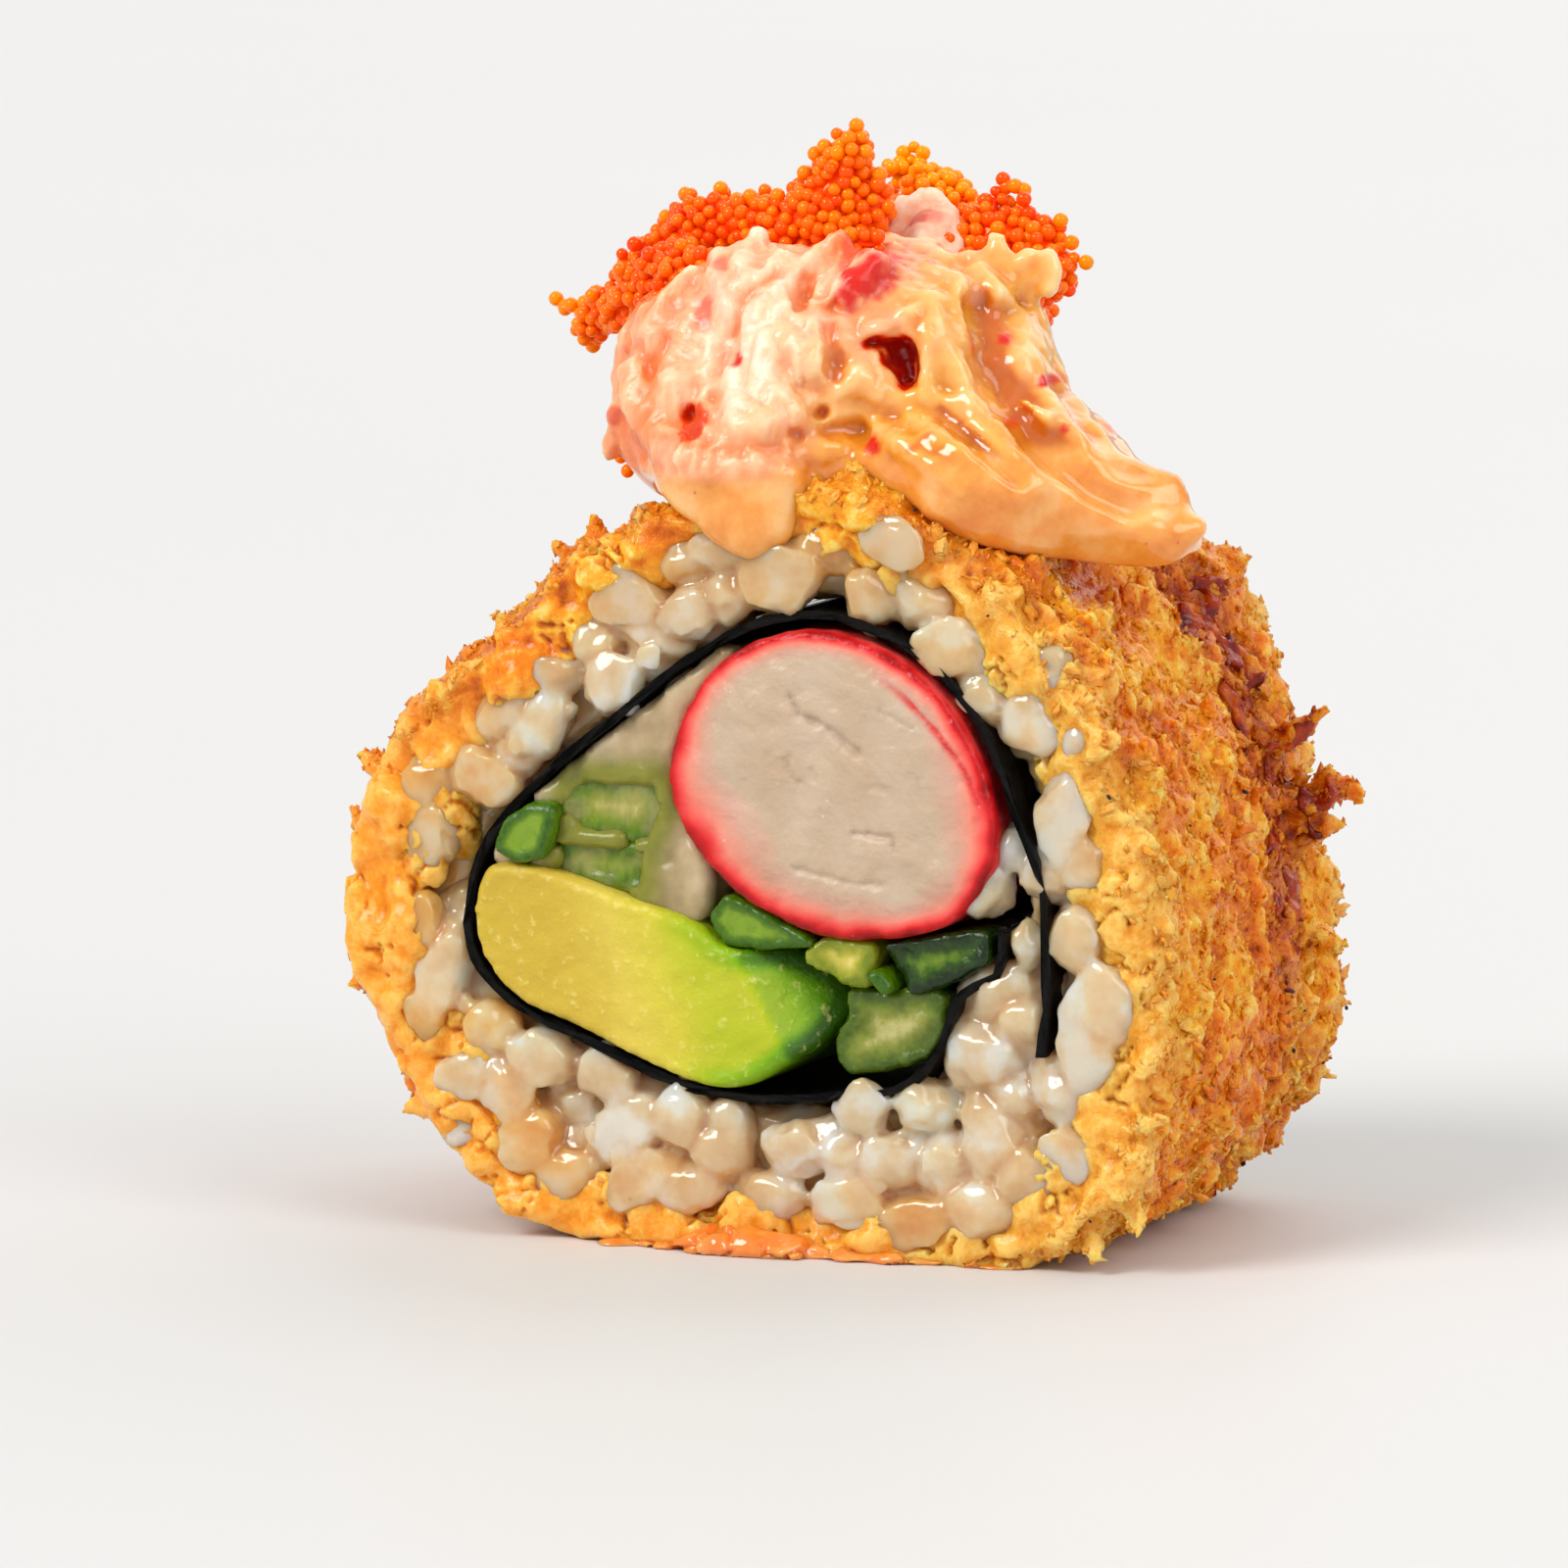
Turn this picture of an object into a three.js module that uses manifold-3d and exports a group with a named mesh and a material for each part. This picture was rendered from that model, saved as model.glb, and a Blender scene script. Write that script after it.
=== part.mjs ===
// One thick slice of a deep-fried sushi roll, lying on its browned side, with both cut ends upright.
// Outside to inside: breadcrumb crust, rice, a spiral of nori, then crab stick, avocado, soft cheese,
// cucumber and scallion. A mound of dressed crab salad sits on top, under a crown of orange roe.
// Millimetres. X runs across the cut face, Y from the front face to the back one, Z is up.
import * as THREE from 'three';
import { ImprovedNoise } from 'three/addons/math/ImprovedNoise.js';
import { mergeVertices } from 'three/addons/utils/BufferGeometryUtils.js';
import Module from 'manifold-3d';

const wasm = await Module();
wasm.setup();

// ---- Driving dimensions -------------------------------------------------------------------------

const rollLength = 28; // from cut face to cut face
const rollCentre = new THREE.Vector2(0, 19); // middle of the cut face, (x, z), above the table
const crustThickness = 2.5;
const crustLump = 0.75; // how far the crust's lumps stand out or sink
const crustLumpSize = 5.5; // from one lump to the next
const sauceGroove = { y: 6.4, depth: 0.9, width: 2.2 }; // the furrow that the drizzled sauce lies in
const noriThickness = 0.6;
const gap = 0.3; // clearance between neighbouring pieces
const riceSetback = 0.7; // the rice ends this far inside the crust's cut edge
const grainLump = 0.55; // relief of the rice's cut faces
const grainSize = 3.2;
const endFace = rollLength / 2;

// Outline of the crust at the cut face, (x, z): flat underneath, narrowest under the topping.
const crustOutline = [
  [-22.7, 15.5], [-21.6, 22.5], [-17.4, 29], [-11.2, 34.6], [-3.6, 38.8], [4, 40], [10.4, 37.8],
  [15.9, 32.6], [20.4, 25.5], [22.3, 16.4], [22.2, 8.6], [18.4, 2.2], [10.5, -0.9], [0, -1.3],
  [-9.6, -0.9], [-16.8, 4.2], [-20.8, 9.8],
];

// The nori from its outer end at the lower right, up and round to its inner end under the crab stick.
const noriPath = [
  [15.9, 11], [16.1, 15.5], [15.7, 20.1], [14.5, 23.1], [13.4, 26.1], [11.7, 28.9], [9.3, 31.2],
  [6.4, 32.6], [3.4, 33.1], [0.2, 32.5], [-2.8, 31], [-7.2, 27.7], [-12.2, 23.6], [-15, 20.3],
  [-15.9, 17.5], [-15.5, 14.4], [-13.5, 12.3], [-9.5, 10.7], [-4.2, 8.6], [-0.2, 8], [4.7, 8.4],
  [8.6, 9.2], [10.7, 11.8], [11.4, 14], [13.3, 15], [13.8, 17.4],
];

// Everything that the nori wraps: the rice ends at this line, and a pocket of it reaches up behind
// the nori's outer end.
const wrappedOutline = [
  [14.2, 18.2], [14.7, 20], [14.7, 23.2], [13.9, 26.3], [12.1, 29.3], [9.6, 31.8], [6.6, 33.2],
  [3.4, 33.7], [0.1, 33.1], [-3.1, 31.6], [-7.6, 28.2], [-12.6, 24.1], [-15.6, 20.6],
  [-16.5, 17.5], [-16.1, 14.1], [-13.8, 11.8], [-9.7, 10.1], [-4.4, 8], [-0.2, 7.4], [4.8, 7.8],
  [9, 8.7], [11.3, 11.5], [11.9, 13.5], [13.8, 14.5], [14.4, 16.4],
];

// The fillings: outline (x, z), how far each stands out of the front face and out of the back face,
// and whether the outline is cut with straight sides, as a knife leaves it, or is rounded.
const fillings = {
  crab_stick: {
    outline: [
      [-4.3, 24.4], [-3.5, 27.6], [-1.2, 30.6], [2.6, 32.1], [6.6, 31.6], [9.9, 29.6], [12, 26.9],
      [13.2, 23.6], [13.1, 20.6], [11, 17.9], [7.8, 16.9], [3.8, 16.9], [-0.6, 18.8], [-3.3, 21.7],
    ],
    front: 0.5, back: 0.2, colour: 0xf1ddd3, roughness: 0.35,
  },
  avocado: {
    outline: [
      [-14.5, 19.1], [-11.1, 18.9], [-7, 17.7], [-3.2, 16.6], [-1.6, 15.4], [1.2, 15.5],
      [3.6, 14.6], [4.6, 13.5], [3.7, 11.6], [1.6, 10.1], [-0.3, 9], [-2.4, 8.9], [-5.4, 9.8],
      [-9.6, 11.6], [-13.1, 13], [-14.8, 15.2], [-15.1, 17.6],
    ],
    front: 0, back: 0.3, colour: 0xd9cf62, roughness: 0.4,
  },
  cucumber_upper: {
    outline: [
      [-10.3, 23.5], [-9.3, 24], [-5.6, 24], [-5.3, 22.7], [-6, 21.2], [-9.9, 21.5], [-10.5, 22.3],
    ],
    front: -1.1, back: -0.6, colour: 0x9fb56a, roughness: 0.3, straight: true,
  },
  cucumber_lower: {
    outline: [[-10.7, 20.7], [-6.3, 20.4], [-6.5, 18.5], [-9.3, 18.9], [-11, 19.4]],
    front: -1.2, back: -0.4, colour: 0xb9c388, roughness: 0.3, straight: true,
  },
  cucumber_rind: {
    outline: [[7.3, 16.2], [10.4, 16.8], [12.8, 17.2], [12.7, 15.7], [10.7, 14.7], [8.7, 14]],
    front: -0.5, back: -0.6, colour: 0x3f6b26, roughness: 0.3, straight: true,
  },
  cucumber_flesh: {
    outline: [[2.9, 15.5], [3.9, 16.3], [6.6, 16.3], [6.2, 14.2], [5, 14.5]],
    front: -0.3, back: -0.8, colour: 0xb4c06c, roughness: 0.3, straight: true,
  },
  cucumber_core: {
    outline: [
      [5.2, 13.7], [7, 13.6], [9.7, 13.9], [10.3, 12.6], [9.4, 10.9], [7, 10], [5.1, 9.7],
      [4.5, 11.1], [5.3, 12.3],
    ],
    front: -0.9, back: -0.7, colour: 0x8da65d, roughness: 0.3,
  },
  scallion_left: {
    outline: [
      [-14, 20.4], [-13.4, 21.8], [-12.1, 22.6], [-10.9, 22.6], [-11.2, 21.3], [-11.6, 20.2],
      [-13, 19.8],
    ],
    front: 0.3, back: -0.5, colour: 0x3c9a35, roughness: 0.35, straight: true,
  },
  scallion_middle: {
    outline: [[-2.2, 17.3], [-1.4, 18.3], [0.2, 17.7], [3.3, 16.2], [0.6, 16], [-1.4, 16.1]],
    front: -0.2, back: -0.9, colour: 0x2f8a3a, roughness: 0.35, straight: true,
  },
  scallion_sliver: {
    outline: [[6.6, 14.8], [7, 14.9], [7.7, 14.2], [7.4, 14]],
    front: 0.1, back: -1.3, colour: 0x3d8f34, roughness: 0.35, straight: true,
  },
};

// The soft cheese fills the upper left of the nori, round the cucumber and one of the scallions.
const cheeseOutline = [
  [-1.4, 31], [-4.9, 28.5], [-9.3, 25.2], [-12.2, 22.9], [-14.1, 20.9], [-14.6, 19.7],
  [-11.1, 19.4], [-7, 18.2], [-3.4, 17.2], [-2.9, 19.6], [-4.2, 21.9], [-4.9, 24.5], [-4.1, 27.8],
];

// The topping's soft bodies. Each is made of lobes that run into one another, and a lobe is an
// ellipsoid: its centre, its half-lengths, and how far its right side is tilted down, in radians.
const saladMound = [
  { centre: [0.8, -3, 43.6], radii: [9.4, 8.6, 7], tilt: 0 },
  { centre: [-5, -5.6, 45.6], radii: [5.4, 5.6, 4.6], tilt: -0.3 },
  { centre: [-6.4, -6.8, 41.6], radii: [3, 4.6, 4.2], tilt: -0.5 },
  { centre: [-1.8, -6.4, 48.4], radii: [3.4, 4, 2.9], tilt: 0 },
  { centre: [3.8, -5, 48.2], radii: [3.8, 4.6, 3.1], tilt: 0.3 },
  { centre: [7.4, -3.6, 46.4], radii: [4, 5, 3.8], tilt: 0.9 },
  { centre: [10, -4.8, 43], radii: [4.8, 4.6, 3.4], tilt: 0.9 },
  { centre: [-1.6, -9.4, 42], radii: [6, 4, 4.2], tilt: 0 },
  { centre: [0.4, 3, 45], radii: [7.4, 5.2, 4.8], tilt: 0 },
];
const saladTongue = [
  { centre: [12.8, -5.8, 40.6], radii: [6, 4.4, 3.2], tilt: 0.65 },
  { centre: [9.6, -9, 39.8], radii: [5.6, 4, 2.6], tilt: 0.45 },
  { centre: [18, -5, 37.8], radii: [4, 3, 1.9], tilt: 0.4 },
];
const saladDrip = [
  { centre: [-1.6, -12.6, 40.2], radii: [4.4, 2.6, 3.4], tilt: -0.1 },
  { centre: [-0.6, -13.7, 37.7], radii: [2.6, 1.4, 1.8], tilt: 0 },
];
const saladRipple = { height: 0.5, size: 3.8 };

// The roe stands in peaks round the salad's top: a wing out to the left, the highest peak at the
// middle of the front, and a second group at the right and the back.
const roeWing = [
  { centre: [-8.4, 0.2, 49.6], radii: [4, 3.6, 2.6], tilt: -0.6 },
  { centre: [-11.6, 1.4, 48.6], radii: [3.6, 2.8, 1.9], tilt: -0.7 },
  { centre: [-14.6, 2.8, 47.4], radii: [3, 2, 1.3], tilt: -0.3 },
  { centre: [-8.4, 0, 52.2], radii: [1.8, 2, 1.9], tilt: -0.6 },
  { centre: [-8.6, 5, 46], radii: [3, 3, 4], tilt: -0.6 },
];
const roePeak = [
  { centre: [-1.6, -2.4, 51.2], radii: [4.6, 4, 2.6], tilt: -0.4 },
  { centre: [-5.6, -1.6, 51.8], radii: [3.4, 3.4, 2.4], tilt: -0.3 },
  { centre: [1, -3.4, 53.4], radii: [2.2, 2.4, 2.8], tilt: -0.5 },
  { centre: [1.5, -3.6, 55.4], radii: [1.2, 1.5, 2], tilt: -0.2 },
  { centre: [-2.4, 4, 50.6], radii: [4.6, 4, 2.8], tilt: -0.2 },
];
const roeBack = [
  { centre: [5.8, 2.4, 50], radii: [4.6, 4.2, 2.7], tilt: 0.4 },
  { centre: [2.2, 5, 53], radii: [2.2, 2.4, 2.5], tilt: 0.2 },
  { centre: [8.2, 2.2, 52.2], radii: [1.3, 1.6, 2.2], tilt: 0.2 },
  { centre: [10.6, 0.8, 49.6], radii: [2.6, 2.4, 1.6], tilt: 0.55 },
  { centre: [3.4, 7.6, 47.4], radii: [6, 3, 3.6], tilt: 0.1 },
];
const roeRipple = { height: 0.35, size: 1.9 };
const lobeBlend = 0.7; // how softly one lobe runs into the next

// ---- Shapes -------------------------------------------------------------------------------------

const noise = new ImprovedNoise();
const depthAxis = new THREE.Vector3(0, 1, 0);

// A smooth curve through outline points, closed on itself or open.
function curveThrough(points, closed) {
  const places = points.map(([x, z]) => new THREE.Vector3(x, z, 0));
  return new THREE.CatmullRomCurve3(places, closed, 'centripetal');
}

// A closed outline as a radius for every direction from the roll's centre.
function radiusByAngle(points) {
  const samples = curveThrough(points, true).getSpacedPoints(360).slice(1).map((p) => {
    const arm = new THREE.Vector2(p.x, p.y).sub(rollCentre);
    return { angle: arm.angle(), radius: arm.length() };
  }).sort((a, b) => a.angle - b.angle);
  return (angle) => {
    const wanted = THREE.MathUtils.euclideanModulo(angle, 2 * Math.PI);
    const after = samples.findIndex((s) => s.angle > wanted);
    const b = samples[Math.max(after, 0)];
    const a = samples.at(after - 1 < 0 ? -1 : after - 1);
    const span = THREE.MathUtils.euclideanModulo(b.angle - a.angle, 2 * Math.PI);
    const share = THREE.MathUtils.euclideanModulo(wanted - a.angle, 2 * Math.PI) / span;
    return THREE.MathUtils.lerp(a.radius, b.radius, share);
  };
}

// A geometry's triangles as a solid, with shared corners merged and collapsed triangles left out.
function solidOf(geometry) {
  const bare = geometry.index ? geometry.toNonIndexed() : geometry.clone();
  bare.deleteAttribute('normal');
  bare.deleteAttribute('uv');
  const merged = mergeVertices(bare, 1e-4);
  const corners = [];
  for (let i = 0; i < merged.index.count; i += 3) {
    const [a, b, c] = [0, 1, 2].map((k) => merged.index.getX(i + k));
    if (a !== b && b !== c && c !== a) corners.push(a, b, c);
  }
  const mesh = new wasm.Mesh({
    numProp: 3,
    vertProperties: merged.attributes.position.array,
    triVerts: new Uint32Array(corners),
  });
  return new wasm.Manifold(mesh);
}

function geometryOf(solid) {
  const { numProp, numVert, vertProperties, triVerts } = solid.getMesh();
  const places = new Float32Array(numVert * 3);
  for (let i = 0; i < numVert; i++) {
    places.set(vertProperties.subarray(i * numProp, i * numProp + 3), i * 3);
  }
  const geometry = new THREE.BufferGeometry();
  geometry.setAttribute('position', new THREE.BufferAttribute(places, 3));
  geometry.setIndex(new THREE.BufferAttribute(triVerts, 1));
  geometry.computeVertexNormals();
  return geometry;
}

const largestPart = (solid) => solid.decompose().sort((a, b) => b.volume() - a.volume())[0];

// Moves every vertex of a geometry to where place(x, y, z) says.
function reshape(geometry, place) {
  const position = geometry.attributes.position;
  for (let i = 0; i < position.count; i++) {
    const [x, y, z] = place(position.getX(i), position.getY(i), position.getZ(i));
    position.setXYZ(i, x, y, z);
  }
  return geometry;
}

// A bar along Y with the given outline, from the front face to the back one.
function bar(shape, front, back) {
  const depth = front + rollLength + back;
  const geometry = new THREE.ExtrudeGeometry(shape, { depth, bevelEnabled: false });
  geometry.rotateX(Math.PI / 2); // the outline's second axis becomes Z, and the bar runs to -Y
  geometry.translate(0, endFace + back, 0);
  return geometry;
}

// An outline moved out by a distance, or in where it is negative, with its corners kept or rounded.
function outlineShape(points, outwards = 0, straight = false, samples = 44) {
  const rounded = () => curveThrough(points, true).getSpacedPoints(samples).slice(1);
  const line = straight
    ? points.map(([x, z]) => new THREE.Vector2(x, z))
    : rounded().map((p) => new THREE.Vector2(p.x, p.y));
  if (THREE.ShapeUtils.isClockWise(line)) line.reverse();
  const moved = line.map((p, i) => {
    const before = line.at(i - 1);
    const after = line[(i + 1) % line.length];
    const inFromBefore = p.clone().sub(before).normalize();
    const outToAfter = after.clone().sub(p).normalize();
    const along = inFromBefore.clone().add(outToAfter).normalize();
    const mitre = 1 / Math.max(0.4, along.dot(outToAfter));
    return new THREE.Vector2(along.y, -along.x).multiplyScalar(outwards * mitre).add(p);
  });
  return new THREE.Shape(moved);
}

// The nori's strip seen from its end: the path with half the thickness on each side.
function stripShape(points, thickness) {
  const path = curveThrough(points, false);
  const steps = 76;
  const side = (sign) => Array.from({ length: steps + 1 }, (_, i) => {
    const p = path.getPointAt(i / steps);
    const t = path.getTangentAt(i / steps);
    return new THREE.Vector2(p.x - sign * t.y * thickness / 2, p.y + sign * t.x * thickness / 2);
  });
  return new THREE.Shape([...side(1), ...side(-1).reverse()]);
}

// Relief of the crust: lumps all over, and the furrow that the sauce lies in on the right.
function crustRelief(angle, y) {
  const lumps = (size) => {
    const around = crustRadius(angle) / size;
    return noise.noise(around * Math.cos(angle), around * Math.sin(angle), y / size);
  };
  const lump = lumps(crustLumpSize) + 0.5 * lumps(crustLumpSize / 2);
  const facing = Math.max(0, Math.cos(angle - 0.45)); // most on the upper right
  const { depth, width } = sauceGroove;
  const furrow = facing * depth * Math.exp(-(((y - sauceGroove.y) / width) ** 2));
  return crustLump * lump - furrow;
}

// A disc or ring of the roll, turned on a lathe as a unit round and then reshaped to its outline.
// radiusAt gives the radius for a share of the way out, and faceAt the relief of the end faces.
function turned(profile, segments, radiusAt, faceAt) {
  const geometry = new THREE.LatheGeometry(profile.map(([r, h]) => new THREE.Vector2(r, h)), segments);
  return reshape(geometry, (x, h, z) => {
    const share = Math.hypot(x, z);
    const angle = Math.atan2(z, x);
    const end = Math.abs(h) > 0.999 ? Math.sign(h) : 0;
    const y = h * endFace + end * faceAt(angle, share, end);
    const radius = radiusAt(angle, share, y);
    return [rollCentre.x + radius * Math.cos(angle), y, rollCentre.y + radius * Math.sin(angle)];
  });
}

// ---- Layers of the roll -------------------------------------------------------------------------

const crustRadius = radiusByAngle(crustOutline);
const lengthSteps = [-1, -0.8, -0.58, -0.36, -0.14, 0.08, 0.3, 0.5, 0.68, 0.84, 1];

function wall(angle) {
  return crustThickness + 0.5 * Math.sin(2 * angle + 1);
}

// Everything inside the crust's outer surface, grown by a distance: what the topping sits on.
function rollBody(grown) {
  const sides = lengthSteps.map((h) => [1, h]);
  const body = turned(
    [[0, -1], ...sides, [0, 1]], 72,
    (angle, share, y) => share * (crustRadius(angle) + crustRelief(angle, y) + grown),
    () => grown,
  );
  return solidOf(body);
}

// Breadcrumb crust: an open tube with a lumpy outside and ragged cut edges, flat where it rests.
function crust() {
  const outside = lengthSteps.map((h) => [2, h]);
  const inside = [[1, 1], [1, -1]];
  const tube = turned(
    [...outside, ...inside, [2, -1]], 72,
    (angle, share, y) => {
      const outer = crustRadius(angle) + crustRelief(angle, y);
      return share > 1.5 ? outer : crustRadius(angle) - wall(angle);
    },
    (angle, share, end) => 0.9 * noise.noise(7 * Math.cos(angle), 7 * Math.sin(angle), 3 * end + share),
  );
  const belowTable = new THREE.BoxGeometry(80, 80, 20).translate(0, 0, -10);
  return solidOf(tube).subtract(solidOf(belowTable));
}

// Rice: a thick disc with uneven cut faces, and the nori and all that it wraps taken out of it.
function rice() {
  const rings = [0.34, 0.52, 0.68, 0.84, 1];
  const disc = turned(
    [[0, -1], ...rings.map((r) => [r, -1]), [1, 0], ...rings.map((r) => [r, 1]).reverse(), [0, 1]], 60,
    (angle, share) => share * (crustRadius(angle) - wall(angle) - gap),
    (angle, share, end) => {
      const out = share * crustRadius(angle) / grainSize;
      return grainLump * noise.noise(out * Math.cos(angle), out * Math.sin(angle), 9 * end) - riceSetback;
    },
  );
  const wrapped = bar(outlineShape(wrappedOutline, 0, false, 60), 3, 3);
  const strip = bar(stripShape(noriPath, noriThickness + 2 * gap), 3, 3);
  return largestPart(solidOf(disc).subtract(solidOf(wrapped)).subtract(solidOf(strip)));
}

function softCheese() {
  let cheese = solidOf(bar(outlineShape(cheeseOutline), -0.7, -0.5));
  for (const name of ['cucumber_upper', 'cucumber_lower', 'scallion_left', 'scallion_middle']) {
    const { outline, straight } = fillings[name];
    cheese = cheese.subtract(solidOf(bar(outlineShape(outline, gap, straight), 1, 1)));
  }
  return largestPart(cheese);
}

// ---- Topping ------------------------------------------------------------------------------------

// How deep a point lies in the lobes together: above one inside them, below one outside.
function depthIn(lobes, point, grown) {
  const depths = lobes.map(({ centre, radii, tilt }) => {
    const arm = point.clone().sub(new THREE.Vector3(...centre)).applyAxisAngle(depthAxis, -tilt);
    const size = (radii[0] + radii[1] + radii[2]) / 3;
    const share = Math.hypot(arm.x / radii[0], arm.y / radii[1], arm.z / radii[2]);
    return Math.exp((grown - (share - 1) * size) / lobeBlend);
  });
  return depths.reduce((sum, depth) => sum + depth);
}

// One closed body round several lobes: a ball about the first lobe's centre, every point of it moved
// in or out to where the lobes end in that direction.
function softBody(lobes, grown, detail, ripple) {
  const start = new THREE.Vector3(...lobes[0].centre);
  const ball = new THREE.IcosahedronGeometry(1, detail);
  return solidOf(reshape(ball, (x, y, z) => {
    const direction = new THREE.Vector3(x, y, z);
    const at = (radius) => direction.clone().multiplyScalar(radius).add(start);
    let radius = 24;
    while (depthIn(lobes, at(radius), grown) < 1) radius -= 0.8;
    let step = 0.4;
    for (let i = 0; i < 6; i++) {
      radius += depthIn(lobes, at(radius), grown) < 1 ? -step : step;
      step /= 2;
    }
    const p = at(radius);
    const wave = noise.noise(p.x / ripple.size, p.y / ripple.size, p.z / ripple.size);
    return at(radius + ripple.height * wave).toArray();
  }));
}

function salad(grown) {
  return softBody(saladMound, grown, 8, saladRipple)
    .add(softBody(saladTongue, grown, 4, saladRipple))
    .add(softBody(saladDrip, grown, 3, saladRipple));
}

function roe() {
  const crown = softBody(roeWing, 0, 5, roeRipple)
    .add(softBody(roePeak, 0, 5, roeRipple))
    .add(softBody(roeBack, 0, 5, roeRipple));
  return largestPart(crown.subtract(salad(gap)).subtract(rollBody(gap)));
}

// ---- The model ----------------------------------------------------------------------------------

const roll = new THREE.Group();

function addPiece(name, geometry, colour, roughness) {
  const material = new THREE.MeshStandardMaterial({ color: colour, roughness, metalness: 0 });
  const mesh = new THREE.Mesh(geometry, material);
  mesh.name = name;
  roll.add(mesh);
}

addPiece('crust', geometryOf(crust()), 0xd0892f, 0.5);
addPiece('rice', geometryOf(rice()), 0xe6dcc8, 0.35);
addPiece('nori', bar(stripShape(noriPath, noriThickness), 0.3, 0.2), 0x17181a, 0.35);
for (const [name, { outline, front, back, colour, roughness, straight }] of Object.entries(fillings)) {
  addPiece(name, bar(outlineShape(outline, 0, straight), front, back), colour, roughness);
}
addPiece('soft_cheese', geometryOf(softCheese()), 0xd9d0bd, 0.35);
addPiece('crab_salad', geometryOf(largestPart(salad(0).subtract(rollBody(gap)))), 0xf3c39a, 0.25);
addPiece('roe', geometryOf(roe()), 0xf06a12, 0.15);

// The origin is under the middle of the whole piece, on the table.
const extent = new THREE.Box3().setFromObject(roll);
const middle = extent.getCenter(new THREE.Vector3());
roll.position.set(-middle.x, -middle.y, -extent.min.z);

const slice = new THREE.Group();
slice.add(roll);

export default slice;
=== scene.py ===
import math
import random

import bmesh
import bpy
import numpy as np
from mathutils import Matrix, Vector, noise
from mathutils.bvhtree import BVHTree
from mathutils.kdtree import KDTree


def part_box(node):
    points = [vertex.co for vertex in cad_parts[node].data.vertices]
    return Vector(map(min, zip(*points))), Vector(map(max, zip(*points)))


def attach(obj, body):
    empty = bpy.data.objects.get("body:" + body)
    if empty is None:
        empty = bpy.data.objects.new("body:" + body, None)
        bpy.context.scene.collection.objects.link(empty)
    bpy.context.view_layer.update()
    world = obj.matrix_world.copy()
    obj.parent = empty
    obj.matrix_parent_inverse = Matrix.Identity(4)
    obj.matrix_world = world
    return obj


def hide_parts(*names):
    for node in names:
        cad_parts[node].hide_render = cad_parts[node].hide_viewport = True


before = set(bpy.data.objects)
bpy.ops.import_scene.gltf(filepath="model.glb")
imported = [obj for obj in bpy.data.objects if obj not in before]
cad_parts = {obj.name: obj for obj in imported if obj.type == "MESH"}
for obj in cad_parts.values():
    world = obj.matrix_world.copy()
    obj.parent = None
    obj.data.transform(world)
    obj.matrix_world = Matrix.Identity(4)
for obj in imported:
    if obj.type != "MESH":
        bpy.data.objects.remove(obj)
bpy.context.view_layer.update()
scene = bpy.context.scene
mm = 0.001
dice = random.Random(11)

# Everything is modelled in the roll's own millimetres: x across the cut face, y from the front face
# to the back one, z up from the table. The nori says where that is in the frame.
noriLow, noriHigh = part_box("nori")
rollPlace = Vector(((noriLow.x + noriHigh.x) / 2 - 0.1 * mm, (noriLow.y + noriHigh.y) / 2 + 0.05 * mm, 0))
toFrame = Matrix.Translation(rollPlace) @ Matrix.Scale(mm, 4)
toRoll = toFrame.inverted()
faceY = 14  # the cut faces are at y = -14 and y = 14
rollMiddle = Vector((0, 0, 19))


# Mesh tools

def cadCopy(node):
    # A loose bmesh of a CAD node, in the roll's millimetres, with its doubles merged.
    shape = bmesh.new()
    shape.from_mesh(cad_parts[node].data)
    bmesh.ops.transform(shape, matrix=toRoll, verts=shape.verts)
    bmesh.ops.remove_doubles(shape, verts=shape.verts, dist=0.002)
    return shape


def treeOf(node):
    shape = cadCopy(node)
    tree = BVHTree.FromBMesh(shape)
    shape.free()
    return tree


def toMesh(shape, name="rough"):
    mesh = bpy.data.meshes.new(name)
    shape.to_mesh(mesh)
    shape.free()
    return mesh


def withModifier(mesh, kind, **settings):
    # The mesh as one modifier leaves it.
    holder = bpy.data.objects.new("rough", mesh)
    scene.collection.objects.link(holder)
    step = holder.modifiers.new("step", kind)
    for name, value in settings.items():
        setattr(step, name, value)
    graph = bpy.context.evaluated_depsgraph_get()
    made = bpy.data.meshes.new_from_object(holder.evaluated_get(graph))
    bpy.data.objects.remove(holder)
    bpy.data.meshes.remove(mesh)
    return made


def skinOver(shape, voxel):
    # One closed skin over everything in the bmesh, with the given voxel in mm.
    return withModifier(toMesh(shape), "REMESH", mode="VOXEL", voxel_size=voxel)


def thinned(mesh, most):
    # The same skin with at most so many triangles.
    triangles = sum(len(p.vertices) - 2 for p in mesh.polygons)
    return mesh if triangles <= most else withModifier(mesh, "DECIMATE", ratio=most / triangles)


def relaxed(shape, rounds):
    for _ in range(rounds):
        bmesh.ops.smooth_vert(
            shape, verts=shape.verts, factor=0.5, use_axis_x=True, use_axis_y=True, use_axis_z=True)


def smoothed(mesh, rounds):
    shape = bmesh.new()
    shape.from_mesh(mesh)
    relaxed(shape, rounds)
    shape.to_mesh(mesh)
    shape.free()
    mesh.update()
    return mesh


def pointsOf(mesh):
    points = np.zeros(len(mesh.vertices) * 3)
    mesh.vertices.foreach_get("co", points)
    return points.reshape(-1, 3)


def normalsOf(mesh):
    normals = np.zeros(len(mesh.vertices) * 3, np.float32)
    mesh.vertex_normals.foreach_get("vector", normals)
    return normals.reshape(-1, 3).astype(float)


def setPoints(mesh, points):
    mesh.vertices.foreach_set("co", points.ravel())
    mesh.update()


def moveBy(mesh, steps):
    setPoints(mesh, pointsOf(mesh) + steps)


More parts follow.
